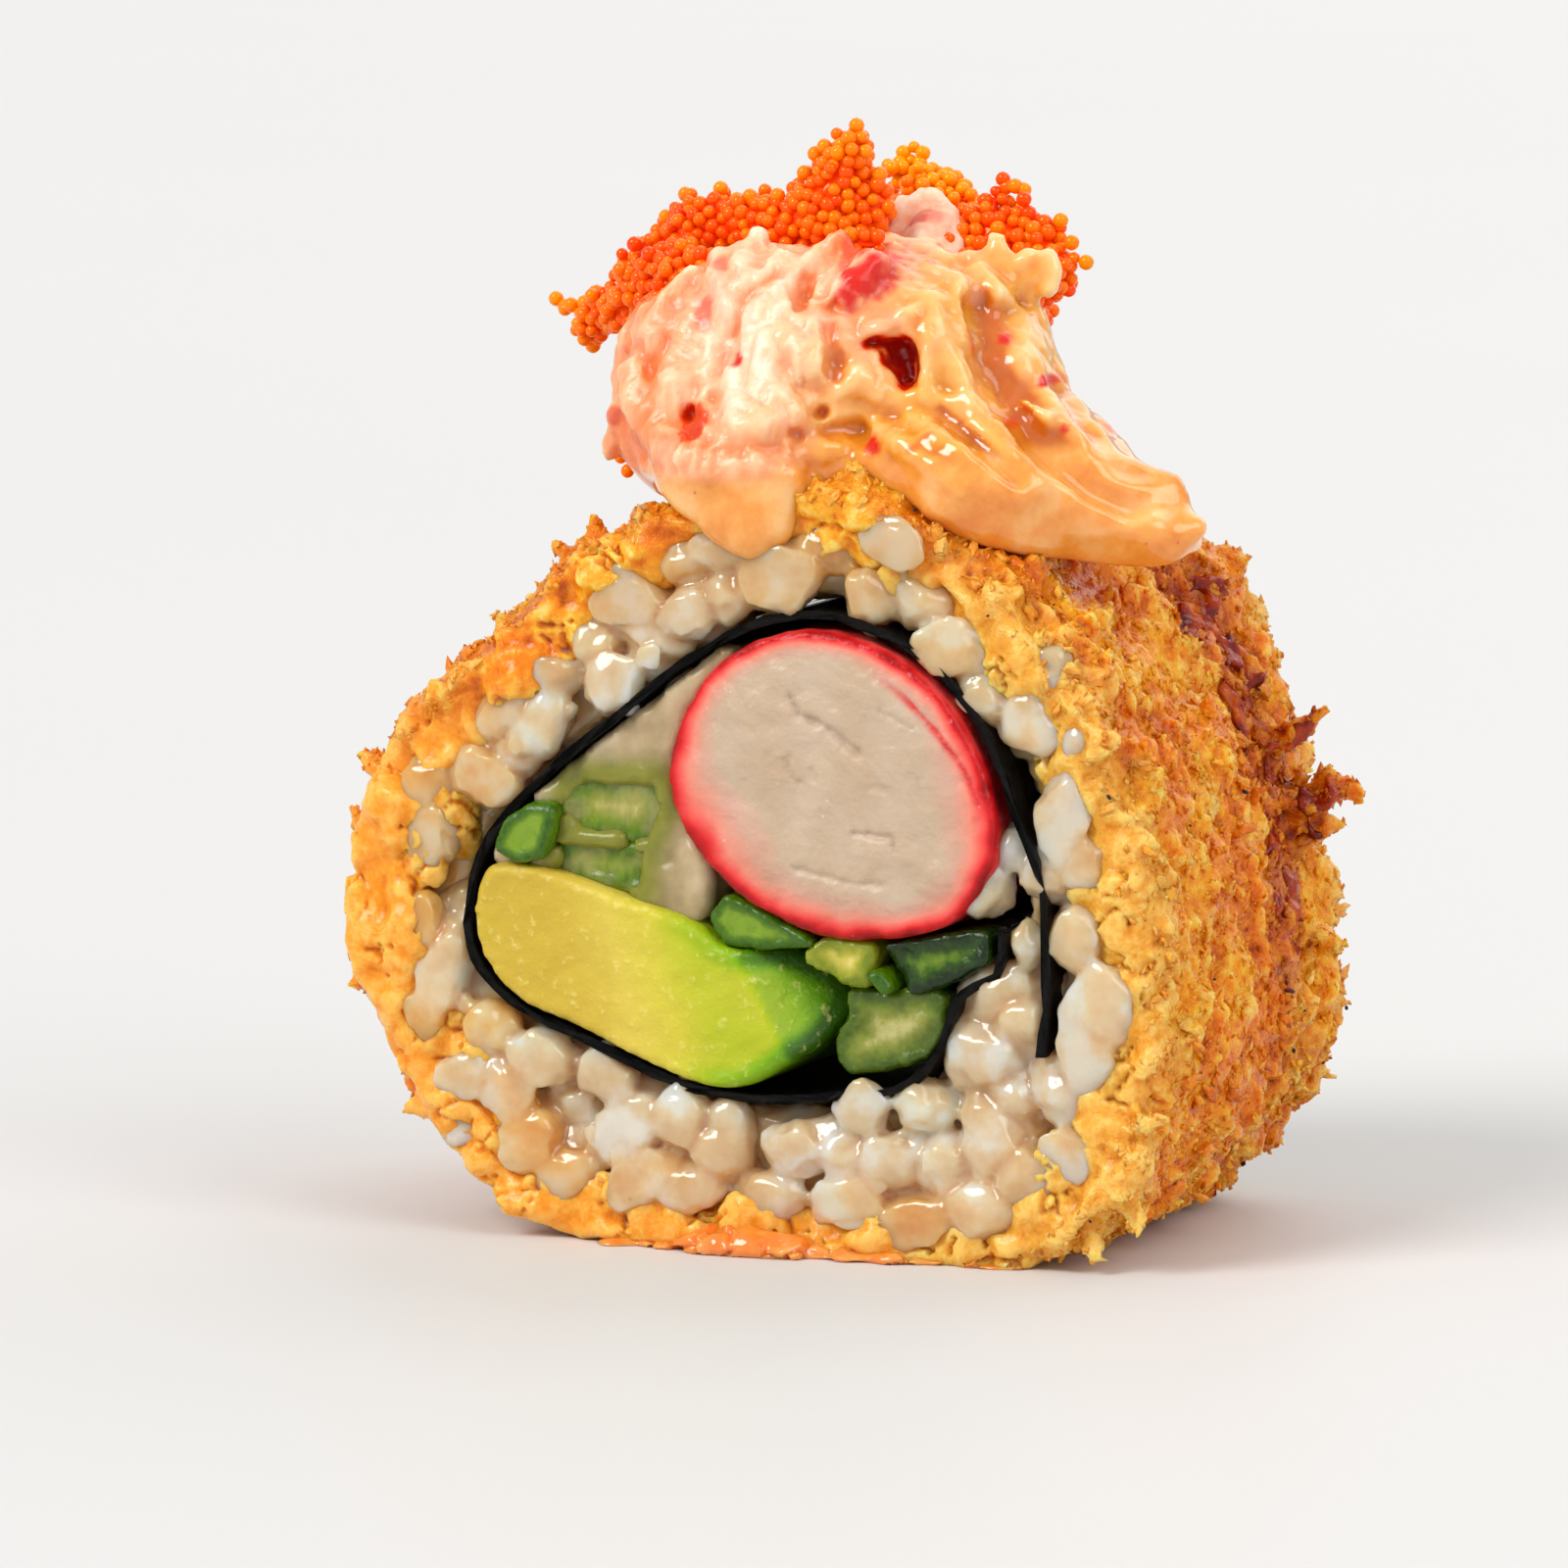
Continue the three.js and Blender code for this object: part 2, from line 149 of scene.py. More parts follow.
def outOfFace(points, amounts):
    # Steps along y, out of the nearer cut face.
    return np.stack([0 * amounts, np.sign(points[:, 1]) * amounts, 0 * amounts], 1)


def pushOut(mesh, amounts):
    # Every point moves along its normal by its own amount.
    moveBy(mesh, normalsOf(mesh) * np.asarray(amounts)[:, None])


def paint(mesh, name, values):
    mesh.attributes.new(name, "FLOAT", "POINT").data.foreach_set("value", np.asarray(values, np.float32))


def smoothStep(low, high, values):
    share = np.clip((np.asarray(values, float) - low) / (high - low), 0, 1)
    return share * share * (3 - 2 * share)


def ripple(points, size, seed=0, octaves=3):
    # Soft noise about zero, its waves size mm long.
    start = Vector((seed * 7.1, seed * 3.3, -seed * 5.7))
    return np.array([noise.fractal(Vector(p) / size + start, 1.0, 2.0, octaves) for p in points])


def pebbles(points, size, seed=0):
    # From 0 in the cracks between crumbs to about 1 on their backs, a crumb being size mm wide.
    start = Vector((seed * 4.7, -seed * 9.1, seed * 2.9))
    backs = []
    for p in points:
        near = noise.voronoi(Vector(p) / size + start)[0]
        backs.append(near[1] - near[0])
    return np.clip(np.array(backs) * 1.6, 0, 1)


def ridges(points, size, seed=0):
    # From 0 to about 1, with sharp winding crests about size mm apart.
    start = Vector((-seed * 3.9, seed * 6.1, seed * 1.3))
    crests = [noise.ridged_multi_fractal(Vector(p) / size + start, 1.0, 2.0, 3, 1.0, 2.0) for p in points]
    return np.array(crests) / 2


def crestOf(mesh, rounds=12):
    # How far each point stands out of the same surface smoothed, in mm.
    level = smoothed(mesh.copy(), rounds)
    out = ((pointsOf(mesh) - pointsOf(level)) * normalsOf(mesh)).sum(1)
    bpy.data.meshes.remove(level)
    return out


def smoothedOver(mesh, values, rounds):
    # Evens out one value per point along the mesh's edges.
    ends = np.zeros(len(mesh.edges) * 2, np.int32)
    mesh.edges.foreach_get("vertices", ends)
    a, b = ends.reshape(-1, 2).T
    count = len(mesh.vertices)
    joined = np.bincount(a, minlength=count) + np.bincount(b, minlength=count)
    for _ in range(rounds):
        near = np.bincount(a, values[b], count) + np.bincount(b, values[a], count)
        values = 0.5 * values + 0.5 * near / np.maximum(joined, 1)
    return values


def distances(points, tree):
    return np.array([tree.find_nearest(Vector(p))[3] for p in points])


def finishPiece(name, mesh, material, slot, *nodes):
    mesh.name = name
    mesh.transform(toFrame)
    mesh.materials.clear()
    mesh.materials.append(material)
    mesh.polygons.foreach_set("use_smooth", [True] * len(mesh.polygons))
    mesh.update()
    piece = bpy.data.objects.new(name, mesh)
    scene.collection.objects.link(piece)
    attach(piece, "root")
    if nodes:
        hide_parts(*nodes)
    triangles = sum(len(p.vertices) - 2 for p in mesh.polygons)
    print(f"{name}: {triangles} triangles")


def laidOn(point, normal, along, size):
    # A matrix that lays a shape on a surface: its x runs along it and its z away from it.
    up = Vector(normal).normalized()
    side = up.cross(Vector(along))
    if side.length < 0.01:
        side = up.orthogonal()
    side.normalize()
    turn = Matrix((side.cross(up), side, up)).transposed().to_4x4()
    return Matrix.Translation(Vector(point)) @ turn @ Matrix.Diagonal((*size, 1))


def anyDirection():
    return Vector((dice.gauss(0, 1), dice.gauss(0, 1), dice.gauss(0, 1))).normalized()


def spotsOn(mesh, count, keep=None):
    # Random spots on a mesh, spread by area: (point, normal) each.
    mesh.calc_loop_triangles()
    corners = [[mesh.vertices[i].co for i in t.vertices] for t in mesh.loop_triangles]
    areas = np.cumsum([t.area for t in mesh.loop_triangles])
    spots = []
    while len(spots) < count:
        t = int(np.searchsorted(areas, dice.random() * areas[-1]))
        u, v = sorted((dice.random(), dice.random()))
        a, b, c = corners[min(t, len(corners) - 1)]
        point = a * u + b * (v - u) + c * (1 - v)
        normal = mesh.loop_triangles[min(t, len(corners) - 1)].normal
        if keep is None or keep(point, normal):
            spots.append((point.copy(), normal.copy()))
    return spots


def spreadOut(spots, spacing):
    # Leaves out every spot that is nearer than spacing to one already kept.
    kept, cells = [], {}
    for spot in spots:
        cell = tuple(int(math.floor(k / spacing)) for k in spot[0])
        near = [s for x in (-1, 0, 1) for y in (-1, 0, 1) for z in (-1, 0, 1)
                for s in cells.get((cell[0] + x, cell[1] + y, cell[2] + z), [])]
        if all((s - spot[0]).length >= spacing for s in near):
            kept.append(spot)
            cells.setdefault(cell, []).append(spot[0])
    return kept


def heapOf(copies):
    # Many copies in one bmesh. Each is (shape, matrix, {attribute: value}).
    heap = bmesh.new()
    for shape, matrix, values in copies:
        copy = shape.copy()
        copy.transform(matrix)
        for name, value in values.items():
            paint(copy, name, [value] * len(copy.vertices))
        heap.from_mesh(copy)
        bpy.data.meshes.remove(copy)
    return heap


def ballShape(detail=2):
    ball = bmesh.new()
    bmesh.ops.create_icosphere(ball, subdivisions=detail, radius=1)
    return toMesh(ball)


def strandHeap(rows, grow=0.0):
    # Soft strings of overlapping balls. A row is a radius and the points that the string runs through.
    ball = ballShape()
    copies = []
    for radius, points in rows:
        size = radius + grow
        points = [Vector(p) for p in points]
        copies.append((ball, Matrix.Translation(points[0]) @ Matrix.Scale(size, 4), {}))
        for start, end in zip(points, points[1:]):
            steps = max(1, math.ceil((end - start).length / (0.45 * size)))
            for step in range(1, steps + 1):
                spot = start.lerp(end, step / steps)
                copies.append((ball, Matrix.Translation(spot) @ Matrix.Scale(size, 4), {}))
    return heapOf(copies)


def along2d(points, line):
    # How far each point is, seen end on, from a line through (x, z) places.
    flat = points[:, [0, 2]]
    nearest = np.full(len(points), 99.0)
    for start, end in zip(line, line[1:]):
        a, b = np.array(start, float), np.array(end, float)
        share = np.clip(((flat - a) @ (b - a)) / ((b - a) @ (b - a)), 0, 1)
        nearest = np.minimum(nearest, np.linalg.norm(flat - a - share[:, None] * (b - a), axis=1))
    return nearest


# Material tools

def linear(colour):
    # An sRGB hex colour as linear RGBA.
    parts = [int(colour[i:i + 2], 16) / 255 for i in (1, 3, 5)]
    return (*[c / 12.92 if c <= 0.04045 else ((c + 0.055) / 1.055) ** 2.4 for c in parts], 1)


def feed(tree, node, inputs):
    # Fills a node's inputs, by name or number. Each takes a value, a colour as "#...", the name of a
    # painted attribute, a node or a socket.
    for name, value in inputs.items():
        socket = node.inputs[name] if isinstance(name, int) else next(
            s for s in node.inputs if s.name == name and s.enabled)
        if isinstance(value, str) and value[0] != "#":
            value = addNode(tree, "Attribute", attribute_name=value).outputs["Fac"]
        if isinstance(value, bpy.types.Node):
            value = next(s for s in value.outputs if s.enabled)
        if isinstance(value, bpy.types.NodeSocket):
            tree.links.new(value, socket)
        else:
            socket.default_value = linear(value) if isinstance(value, str) else value


def addNode(tree, kind, inputs=None, stops=None, **settings):
    # Adds a shader node with its settings, colour stops and inputs.
    node = tree.nodes.new("ShaderNode" + kind)
    for name, value in settings.items():
        setattr(node, name, value)
    for number, (place, colour) in enumerate(stops or []):
        ramp = node.color_ramp.elements
        stop = ramp[number] if number < len(ramp) else ramp.new(place)
        stop.position = place
        stop.color = linear(colour) if isinstance(colour, str) else (colour, colour, colour, 1)
    feed(tree, node, inputs or {})
    return node


def newMaterial(name, settings):
    made = bpy.data.materials.new(name)
    made.use_nodes = True
    tree = made.node_tree
    shader = tree.nodes["Principled BSDF"]
    for socket, value in settings.items():
        shader.inputs[socket].default_value = value
    place = addNode(tree, "TexCoord").outputs["Object"]
    return made, tree, shader, place


def perMm(size):
    return 1 / (size * mm)  # a noise scale in metres for waves of so many mm


# Crust: panko breadcrumbs, fried golden

crustLook = {
    "voxel": 0.27, "most": 192000,
    "lumps": [(4.8, 0.65, 2), (2.0, 0.5, 2)],  # size and height in mm, and octaves
    "fused": 1700, "fusedSize": (0.7, 2.0), "batter": 170, "perClump": 16,  # how many crumbs and lumps
    "sauceLine": 6.4, "sauceWidth": 2.3,  # where the drizzle runs along y, and its half-width
    "paleRim": 3.5,  # how far the crumb stays pale from the cut
    "shoulder": 1.5, "leftBulge": 0.7,  # how far the coat swells behind its right shoulder and at the left
}
# Ragged clumps that stand out of the outline: middle, reach, and the way each one points.
bigClumps = [
    ((22.9, 9.4, 22.2), (3, 2.3), (1, 0, 0.4)), ((22.6, 9.4, 20.6), (2, 1.8), (1, 0, -0.1)),
    ((23.2, 9, 14.6), (1.8, 1.5), (1, 0, -0.2)), ((22.3, 8, 25.9), (1.8, 1.2), (1, 0, 0.7)),
    ((20.4, -13, 3.6), (2.4, 1.3), (0.5, -0.3, -0.8)), ((18.4, -13.2, 1.6), (2, 1), (0.4, -0.3, -0.8)),
    ((21, -13.4, 7.8), (3, 1.2), (0.9, -0.3, 0.25)), ((19.6, -13.6, 5.4), (2.6, 1.4), (0.4, -0.3, -0.9)),
    ((-21.6, -12, 24.2), (1.8, 1.3), (-0.8, -0.2, 0.5)), ((-9.6, -11, 36.6), (1.6, 1), (-0.4, 0, 0.9)),
    ((-11.8, -10.4, 35.4), (1.4, 0.9), (-0.7, 0, 0.7)),
    ((-19.2, -12.4, 6.4), (1.6, 1.2), (-0.8, -0.2, -0.6)), ((21.6, 10.4, 9.6), (2, 1.5), (1, 0.2, 0)),
    ((-16, 11, 31), (1.8, 1.4), (-0.6, 0.2, 0.8)),
]

riceTree = treeOf("rice")
crustTree = treeOf("crust")
saladTree = treeOf("crab_salad")


def around(points):
    # The angle round the roll, in degrees from the right.
    return np.degrees(np.arctan2(points[:, 2] - rollMiddle.z, points[:, 0]))


def sauceAmount(points):
    # How much of the drizzled sauce lies at a point: a band over the roll's right shoulder.
    angle = around(points)
    line = crustLook["sauceLine"] + 0.55 * np.sin(angle / 11) + 0.3 * np.sin(angle / 4.3 + 1)
    line = line + np.where(angle < -16, (angle + 16) * -0.12, 0)
    width = crustLook["sauceWidth"] + 0.5 * np.sin(angle / 7 + 2) + 0.7 * ripple(points, 2.2, 5, 2)
    across = 1 - np.abs(points[:, 1] - line) / np.maximum(width, 0.3)
    rightSide = smoothStep(-24, -10, angle) * smoothStep(74, 60, angle)
    leftSide = smoothStep(112, 124, angle) * smoothStep(176, 158, angle)
    return np.clip(smoothStep(-0.3, 0.4, across) * (rightSide + leftSide), 0, 1)


def crumbShape(seed, detail, thin, jag):
    shape = bmesh.new()
    bmesh.ops.create_icosphere(shape, subdivisions=detail, radius=0.5)
    for vert in shape.verts:
        swell = noise.noise(vert.co * 2.6 + Vector((seed * 3.1, 0, 0)))
        swell += 0.6 * noise.noise(vert.co * 6 + Vector((0, seed, 0)))
        vert.co *= 1 + jag * swell
    bmesh.ops.scale(shape, vec=(1.1, 0.55, thin), verts=shape.verts)
    return toMesh(shape)


def onCrust(point, normal):
    # Crumbs keep off the rice, the table and the smooth batter of the rim's left and lower front.
    onBatter = abs(point.y) > 11.6 and point.x < 8 and point.z < 24
    free = riceTree.find_nearest(point)[3] > 1.5 and abs(point.y) < faceY + 0.6 and point.z > 0.7
    return free and abs(normal.y) < 0.9 and not onBatter


def crumbCopies(surface, shapes, count, sizes, lean, lift):
    copies = []
    spots = spotsOn(surface, count, onCrust)
    sauces = sauceAmount(np.array([list(s[0]) for s in spots]))
    for (point, normal), sauce in zip(spots, sauces):
        size = sizes[0] + (sizes[1] - sizes[0]) * dice.random() ** 2
        tilt = (normal + lean * anyDirection()).normalized()
        along = Vector((0, 0, -1)) + 0.9 * anyDirection()
        matrix = laidOn(point + normal * size * lift * dice.uniform(0.4, 1.4), tilt, along, (size,) * 3)
        edge = max(0, abs(point.y) - faceY + crustLook["paleRim"]) / crustLook["paleRim"]
        copies.append((dice.choice(shapes), matrix, {
            "rise": dice.uniform(0.3, 0.85), "pale": min(1, edge * dice.uniform(0.4, 1.1)),
            "sauce": float(sauce)}))
    return copies


def batterCopies():
    # Batter that has run in between the crust and the rice, as soft blobs along the rim.
    ball = ballShape()
    copies = []
    for end in (-1, 1):
        for n in range(crustLook["batter"]):
            angle = 2 * math.pi * (n + dice.uniform(-0.5, 0.5)) / crustLook["batter"]
            out = Vector((math.cos(angle), 0, math.sin(angle)))
            wall = riceTree.ray_cast(rollMiddle + out * 60, -out)[0]
            spot = wall + out * dice.uniform(-1.1, 1.2)
            spot.y = end * (faceY - dice.uniform(0.9, 2.2))
            size = dice.uniform(0.7, 1.45) * (1.15 if out.z < 0 or out.x < -0.3 else 0.9)
            along = Vector((-out.z, 0, out.x)) + 0.5 * anyDirection()
            lean = Vector((0, end, 0)) + 0.4 * anyDirection()
            stretch = (size * dice.uniform(1.1, 2), size, size * 0.8)
            copies.append((ball, laidOn(spot, lean, along, stretch), {}))
    return copies


def cutFlat(mesh, limit, seed):
    # The knife leaves what stands past the cut face nearly flat.
    points = pointsOf(mesh)
    height = np.abs(points[:, 1]) - faceY - limit - 0.35 * ripple(points * [1, 0, 1], 5, seed, 2)
    points[:, 1] -= np.sign(points[:, 1]) * np.maximum(height, 0) * 0.7
    setPoints(mesh, points)


def onLeftRim(points):
    # The left and lower rim of the cut faces, where thick batter covers the crumbs.
    rim = smoothStep(10.6, 12.4, np.abs(points[:, 1]))
    return rim * smoothStep(8, 3, points[:, 0]) * smoothStep(27, 23, points[:, 2])


def buildCrust():
    base = smoothed(skinOver(cadCopy("crust"), 0.42), 8)
    points = pointsOf(base)
    normals = normalsOf(base)
    outer = smoothStep(1.2, 2.2, distances(points, riceTree))
    facing = smoothStep(0.5, 0.9, np.abs(normals[:, 1]))
    offTable = smoothStep(0.3, 1.5, points[:, 2])
    lumps = sum(high * ripple(points, size, 4 + n, octaves)
                for n, (size, high, octaves) in enumerate(crustLook["lumps"]))
    pushOut(base, lumps * offTable * np.maximum(outer, 0.5 * facing))
    # the knife has torn the rim, and its outer corner is worn away
    points = pointsOf(base)
    torn = facing * offTable * (0.75 * ripple(points, 2.6, 12, 3) - 0.35)
    worn = smoothStep(11.2, faceY, np.abs(points[:, 1])) * outer * offTable
    worn = worn * (0.75 + 0.9 * ripple(points, 3.2, 13, 2))
    onLeft = smoothStep(-2, -8, points[:, 0]) * smoothStep(31, 27, points[:, 2])
    worn = worn * (1 - 0.8 * onLeft)
    inwards = points - np.array(rollMiddle)
    inwards[:, 1] = 0
    inwards /= np.linalg.norm(inwards, axis=1)[:, None]
    turned = around(points)
    bulge = (crustLook["shoulder"] * np.exp(-((turned - 40) / 15) ** 2)
             * smoothStep(3, 9, points[:, 1]) * outer)
    bulge = bulge + crustLook["leftBulge"] * np.exp(-((np.abs(turned) - 176) / 22) ** 2) * outer
    moveBy(base, inwards * (bulge - worn)[:, None] + outOfFace(points, torn))
    shapes = [crumbShape(n, 2, dice.uniform(0.35, 0.6), 0.9) for n in range(10)]
    copies = crumbCopies(base, shapes, crustLook["fused"], crustLook["fusedSize"], 0.6, 0.1)
    for middle, (reach, wide), way in bigClumps:
        for _ in range(crustLook["perClump"]):
            share = dice.uniform(-0.6, 0.5)
            spread = wide * 0.42 * (0.7 - share)
            spot = Vector(middle) + Vector(way) * reach * share + anyDirection() * spread
            size = dice.uniform(0.6, 1.2) * wide * 0.75
            crumb = dice.choice(shapes)
            up = anyDirection()
            along = Vector(way) + 0.6 * anyDirection()
            copies.append((crumb, laidOn(spot, up, along, (size * 1.4, size, size)), {}))
    heap = heapOf(copies)
    batter = heapOf(batterCopies())
    batterTree = BVHTree.FromBMesh(batter)
    runs = toMesh(batter)
    heap.from_mesh(runs)
    heap.from_mesh(base)
    mesh = smoothed(skinOver(heap, crustLook["voxel"]), 1)
    points = pointsOf(mesh)
    # the batter stays smooth and wet, with pits where bubbles broke
    onEnds = smoothStep(10.5, 12.5, np.abs(points[:, 1]))
    soft = smoothStep(0.5, 0.05, distances(points, batterTree)) * onEnds
    soft = np.maximum(soft, 0.6 * onLeftRim(points))
    level = smoothed(mesh.copy(), 8)
    moveBy(mesh, (pointsOf(level) - points) * soft[:, None])
    points = pointsOf(mesh)
    pits = smoothStep(0.16, 0.03, pebbles(points, 1.7, 63)) * (ripple(points, 3, 64, 1) > 0.05)
    waves = 0.26 * ripple(points, 1.5, 61, 3) + 0.4 * (ridges(points, 2.1, 65) - 0.5)
    pushOut(mesh, soft * (waves - 0.5 * pits))
    points = pointsOf(mesh)
    outer = smoothStep(1.0, 2.0, distances(points, riceTree)) * (1 - soft)
    offTable = smoothStep(0.2, 1.2, points[:, 2])
    warped = points + 0.5 * np.stack([ripple(points, 1.5, n, 1) for n in (1, 2, 3)], 1)
    pushOut(mesh, offTable * (0.3 + 0.7 * outer) * (
        0.24 * (ridges(warped * [1, 1, 0.6], 1.1, 1) - 0.5) + 0.1 * ripple(points, 0.5, 9, 2)))
    mesh = thinned(mesh, crustLook["most"])
    cutFlat(mesh, 0.5, 62)
    points = pointsOf(mesh)
    points[:, 2] = np.maximum(points[:, 2], 0)
    setPoints(mesh, points)
    onEnds = smoothStep(10.5, 12.5, np.abs(points[:, 1]))
    soft = smoothStep(0.8, 0.1, distances(points, batterTree)) * onEnds
    soft = np.maximum(soft, onLeftRim(points))
    outer = smoothStep(1.0, 2.0, distances(points, riceTree))
    angle = around(points)
    rightSide = smoothStep(95, 60, np.abs(angle + 5))
    reach = 2.4 + 2.4 * np.clip(ripple(points, 4.5, 14, 2) + 0.4, 0, 1) * rightSide
    atCut = smoothStep(faceY - reach, faceY - reach * 0.35, np.abs(points[:, 1]))
    # rise is the crest height; the colour ramps turn it into painted shade in the pits and a paler painted
    # highlight on the crests
    paint(mesh, "rise", np.clip(0.5 + crestOf(mesh, 10) / 0.5, 0, 1))
    browned = smoothStep(25, 30, points[:, 2] - 8 * (points[:, 0] > 0)) * 0.85
    pale = np.maximum(atCut, 1 - outer) + 0.4 * atCut * ripple(points, 1.6, 15, 2)
    paint(mesh, "pale", np.clip(pale * (1 - browned), 0, 1))
    # red-brown within about 3 mm of the salad, as painted shadow under it with soaked juice; brown low on
    # the right, and toasted at the upper left
    saladShadowAndJuice = 0.65 * smoothStep(3.4, 0.8, distances(points, saladTree))
    saladShadowAndJuice = saladShadowAndJuice * (0.7 + 0.8 * ripple(points, 1.8, 16, 2))
    lowRight = 0.6 * np.exp(-((angle + 27) / 8) ** 2 - ((points[:, 1] - 8) / 4) ** 2)
    upperLeft = 0.55 * np.exp(-((angle - 136) / 17) ** 2) + 0.3 * ripple(points, 2, 17, 2) - 0.1
    stainAndShadow = np.maximum(np.maximum(saladShadowAndJuice, lowRight), upperLeft)
    paint(mesh, "sauce", np.clip(np.maximum(sauceAmount(points), stainAndShadow) * outer, 0, 1))
    paint(mesh, "batter", soft)
    return mesh


def crustMaterial(name, soft):
    # Panko fried in oil: airy crumb soaked with oil, so it glows amber where light comes through. Its
    # colour ramps run orange-brown in the pits and golden to pale on the crests, as painted shade and
    # painted highlight over the crumb's own tone. The crumb is about 0.5 mm, and patches of browning 4 mm.
    # A thin film of oil glitters on its fibres.
    made, tree, shader, place = newMaterial(name, {
        "Roughness": 0.3, "IOR": 1.45, "Subsurface Weight": soft, "Subsurface Radius": (1.0, 0.42, 0.06),
        "Subsurface Scale": 1.6 * mm, "Specular IOR Level": 0.2, "Coat Weight": 0.2,
        "Coat Roughness": 0.04,
    })
    bent = addNode(tree, "TexNoise", {"Vector": place, "Scale": perMm(1.3), "Detail": 1.0})
    bent = addNode(tree, "VectorMath", {0: bent.outputs["Color"], 1: (3 * mm,) * 3}, operation="MULTIPLY")
    bent = addNode(tree, "VectorMath", {0: place, 1: bent}, operation="ADD")
    patches, crumbs, fibres = [
        addNode(tree, "TexNoise", {
            "Vector": where, "Scale": perMm(size), "Detail": detail, "Roughness": rough})
        for where, size, detail, rough in (
            (place, 5, 4.0, 0.62), (place, 0.75, 3.0, 0.6), (bent, 0.36, 1.0, 0.6))]
    # height: the painted crest shade and highlight from rise, mixed with the crumb's noise tone
    height = addNode(tree, "Math", {0: "rise", 1: 0.5}, operation="MULTIPLY")
    height = addNode(tree, "Math", {0: crumbs, 1: 0.7, 2: height}, operation="MULTIPLY_ADD")
    height = addNode(tree, "Math", {0: fibres, 1: 0.3, 2: height}, operation="MULTIPLY_ADD")
    golden = addNode(tree, "ValToRGB", {"Fac": height}, stops=[
        (0.42, "#C45A00"), (0.58, "#EA8204"), (0.72, "#F8A012"), (0.88, "#FDBA34"), (1.0, "#FFD470")])
    toasted = addNode(tree, "ValToRGB", {"Fac": height}, stops=[
        (0.42, "#8E3200"), (0.56, "#C85600"), (0.72, "#E67404"), (0.88, "#F28E12"), (1.0, "#FAB038")])
    browned = addNode(tree, "ValToRGB", {"Fac": patches}, stops=[(0.42, 0.0), (0.54, 1.0)])
    amber = addNode(tree, "ValToRGB", {"Fac": height}, stops=[
        (0.42, "#D07008"), (0.58, "#EC8C14"), (0.74, "#F8A02C"), (0.95, "#FDBC5A")])
    cream = addNode(tree, "ValToRGB", {"Fac": height}, stops=[
        (0.42, "#C07408"), (0.58, "#E29420"), (0.74, "#EEAA3C"), (0.95, "#F8C668")])
    side = addNode(tree, "SeparateXYZ", {"Vector": place})
    right = addNode(tree, "MapRange", {"Value": side.outputs["X"], "From Min": 0.0, "From Max": 14 * mm})
    rim = addNode(tree, "Mix", {"Factor": right, "A": amber, "B": cream}, data_type="RGBA")
    stain = addNode(tree, "ValToRGB", {"Fac": height}, stops=[
        (0.42, "#661800"), (0.6, "#A43602"), (0.78, "#CC6006"), (1.0, "#E89020")])
    colour = golden
    for share, over in ((browned, toasted), ("pale", rim), ("sauce", stain)):
        colour = addNode(tree, "Mix", {"Factor": share, "A": colour, "B": over}, data_type="RGBA")
    wet = addNode(tree, "MapRange", {"Value": fibres, "From Min": 0.35, "From Max": 0.65,
                                     "To Min": 0.08, "To Max": 0.35})
    gloss = addNode(tree, "Mix", {"Factor": "sauce", "A": wet, "B": 0.15}, data_type="FLOAT")
    relief = addNode(tree, "Math", {0: fibres, 1: 0.6, 2: crumbs}, operation="MULTIPLY_ADD")
    rough = addNode(tree, "MapRange", {"Value": "batter", "To Min": 0.85, "To Max": 0.2})
    bump = addNode(tree, "Bump", {"Height": relief, "Strength": rough, "Distance": 0.34 * mm})
    feed(tree, shader, {"Base Color": colour, "Roughness": gloss, "Normal": bump})
    return made


crustMesh = buildCrust()
crustSkin = crustMesh.copy()  # kept in the roll's millimetres for what lies on it
finishPiece("panko_crust", crustMesh, crustMaterial("fried_panko", 0.65), "crust", "crust")


# Loose crumbs that stand on the crust

crumbLook = {"flakes": 900, "flakeSize": (0.5, 1.3), "fine": 9300, "fineSize": (0.22, 0.58)}
flakeShapes = [crumbShape(n, 2, dice.uniform(0.35, 0.6), 1.0) for n in range(10)]
fineShapes = [crumbShape(20 + n, 1, dice.uniform(0.4, 0.8), 1.1) for n in range(10)]
crumbCoat = crustMaterial("loose_panko", 0.0)
flakes = heapOf(crumbCopies(crustSkin, flakeShapes, crumbLook["flakes"], crumbLook["flakeSize"], 0.9, 0.02))
finishPiece("panko_flakes", toMesh(flakes), crumbCoat, "crust")
fine = heapOf(crumbCopies(crustSkin, fineShapes, crumbLook["fine"], crumbLook["fineSize"], 1.2, 0.02))
finishPiece("fine_crumbs", toMesh(fine), crumbCoat, "crust")


# Sauce: a dark sweet glaze drizzled over the crust

sauceLook = {"lift": 0.3, "thick": 0.7, "voxel": 0.22, "stray": 3.5}


def buildSauce():
    shape = bmesh.new()
    shape.from_mesh(crustSkin)
    places = pointsOf(crustSkin)
    # it breaks up into clots, with bare crumb between them
    bare = smoothStep(0.06, 0.3, ripple(places, 1.5, 32, 2))
    amount = sauceAmount(places) * (distances(places, riceTree) > 1.5) - 0.7 * bare
    gone = [f for f in shape.faces
            if min(amount[v.index] for v in f.verts) < 0.5 or max(e.calc_length() for e in f.edges) > 1]
    bmesh.ops.delete(shape, geom=gone, context="FACES")
    relaxed(shape, 4)
    shape.normal_update()
    for vert in shape.verts:
        vert.co += vert.normal * sauceLook["lift"]
    bmesh.ops.solidify(shape, geom=shape.faces[:], thickness=sauceLook["thick"])
    # A sharp fold in the film can throw a corner far off: back to the neighbour nearest the coat.
    for vert in shape.verts:
        if crustTree.find_nearest(vert.co)[3] > sauceLook["stray"]:
            ends = [edge.other_vert(vert).co for edge in vert.link_edges]
            vert.co = min(ends, key=lambda end: crustTree.find_nearest(end)[3]).copy()
    mesh = smoothed(skinOver(shape, sauceLook["voxel"]), 4)
    pushOut(mesh, 0.35 * ripple(pointsOf(mesh), 1.1, 31, 3) - 0.1)
    return mesh


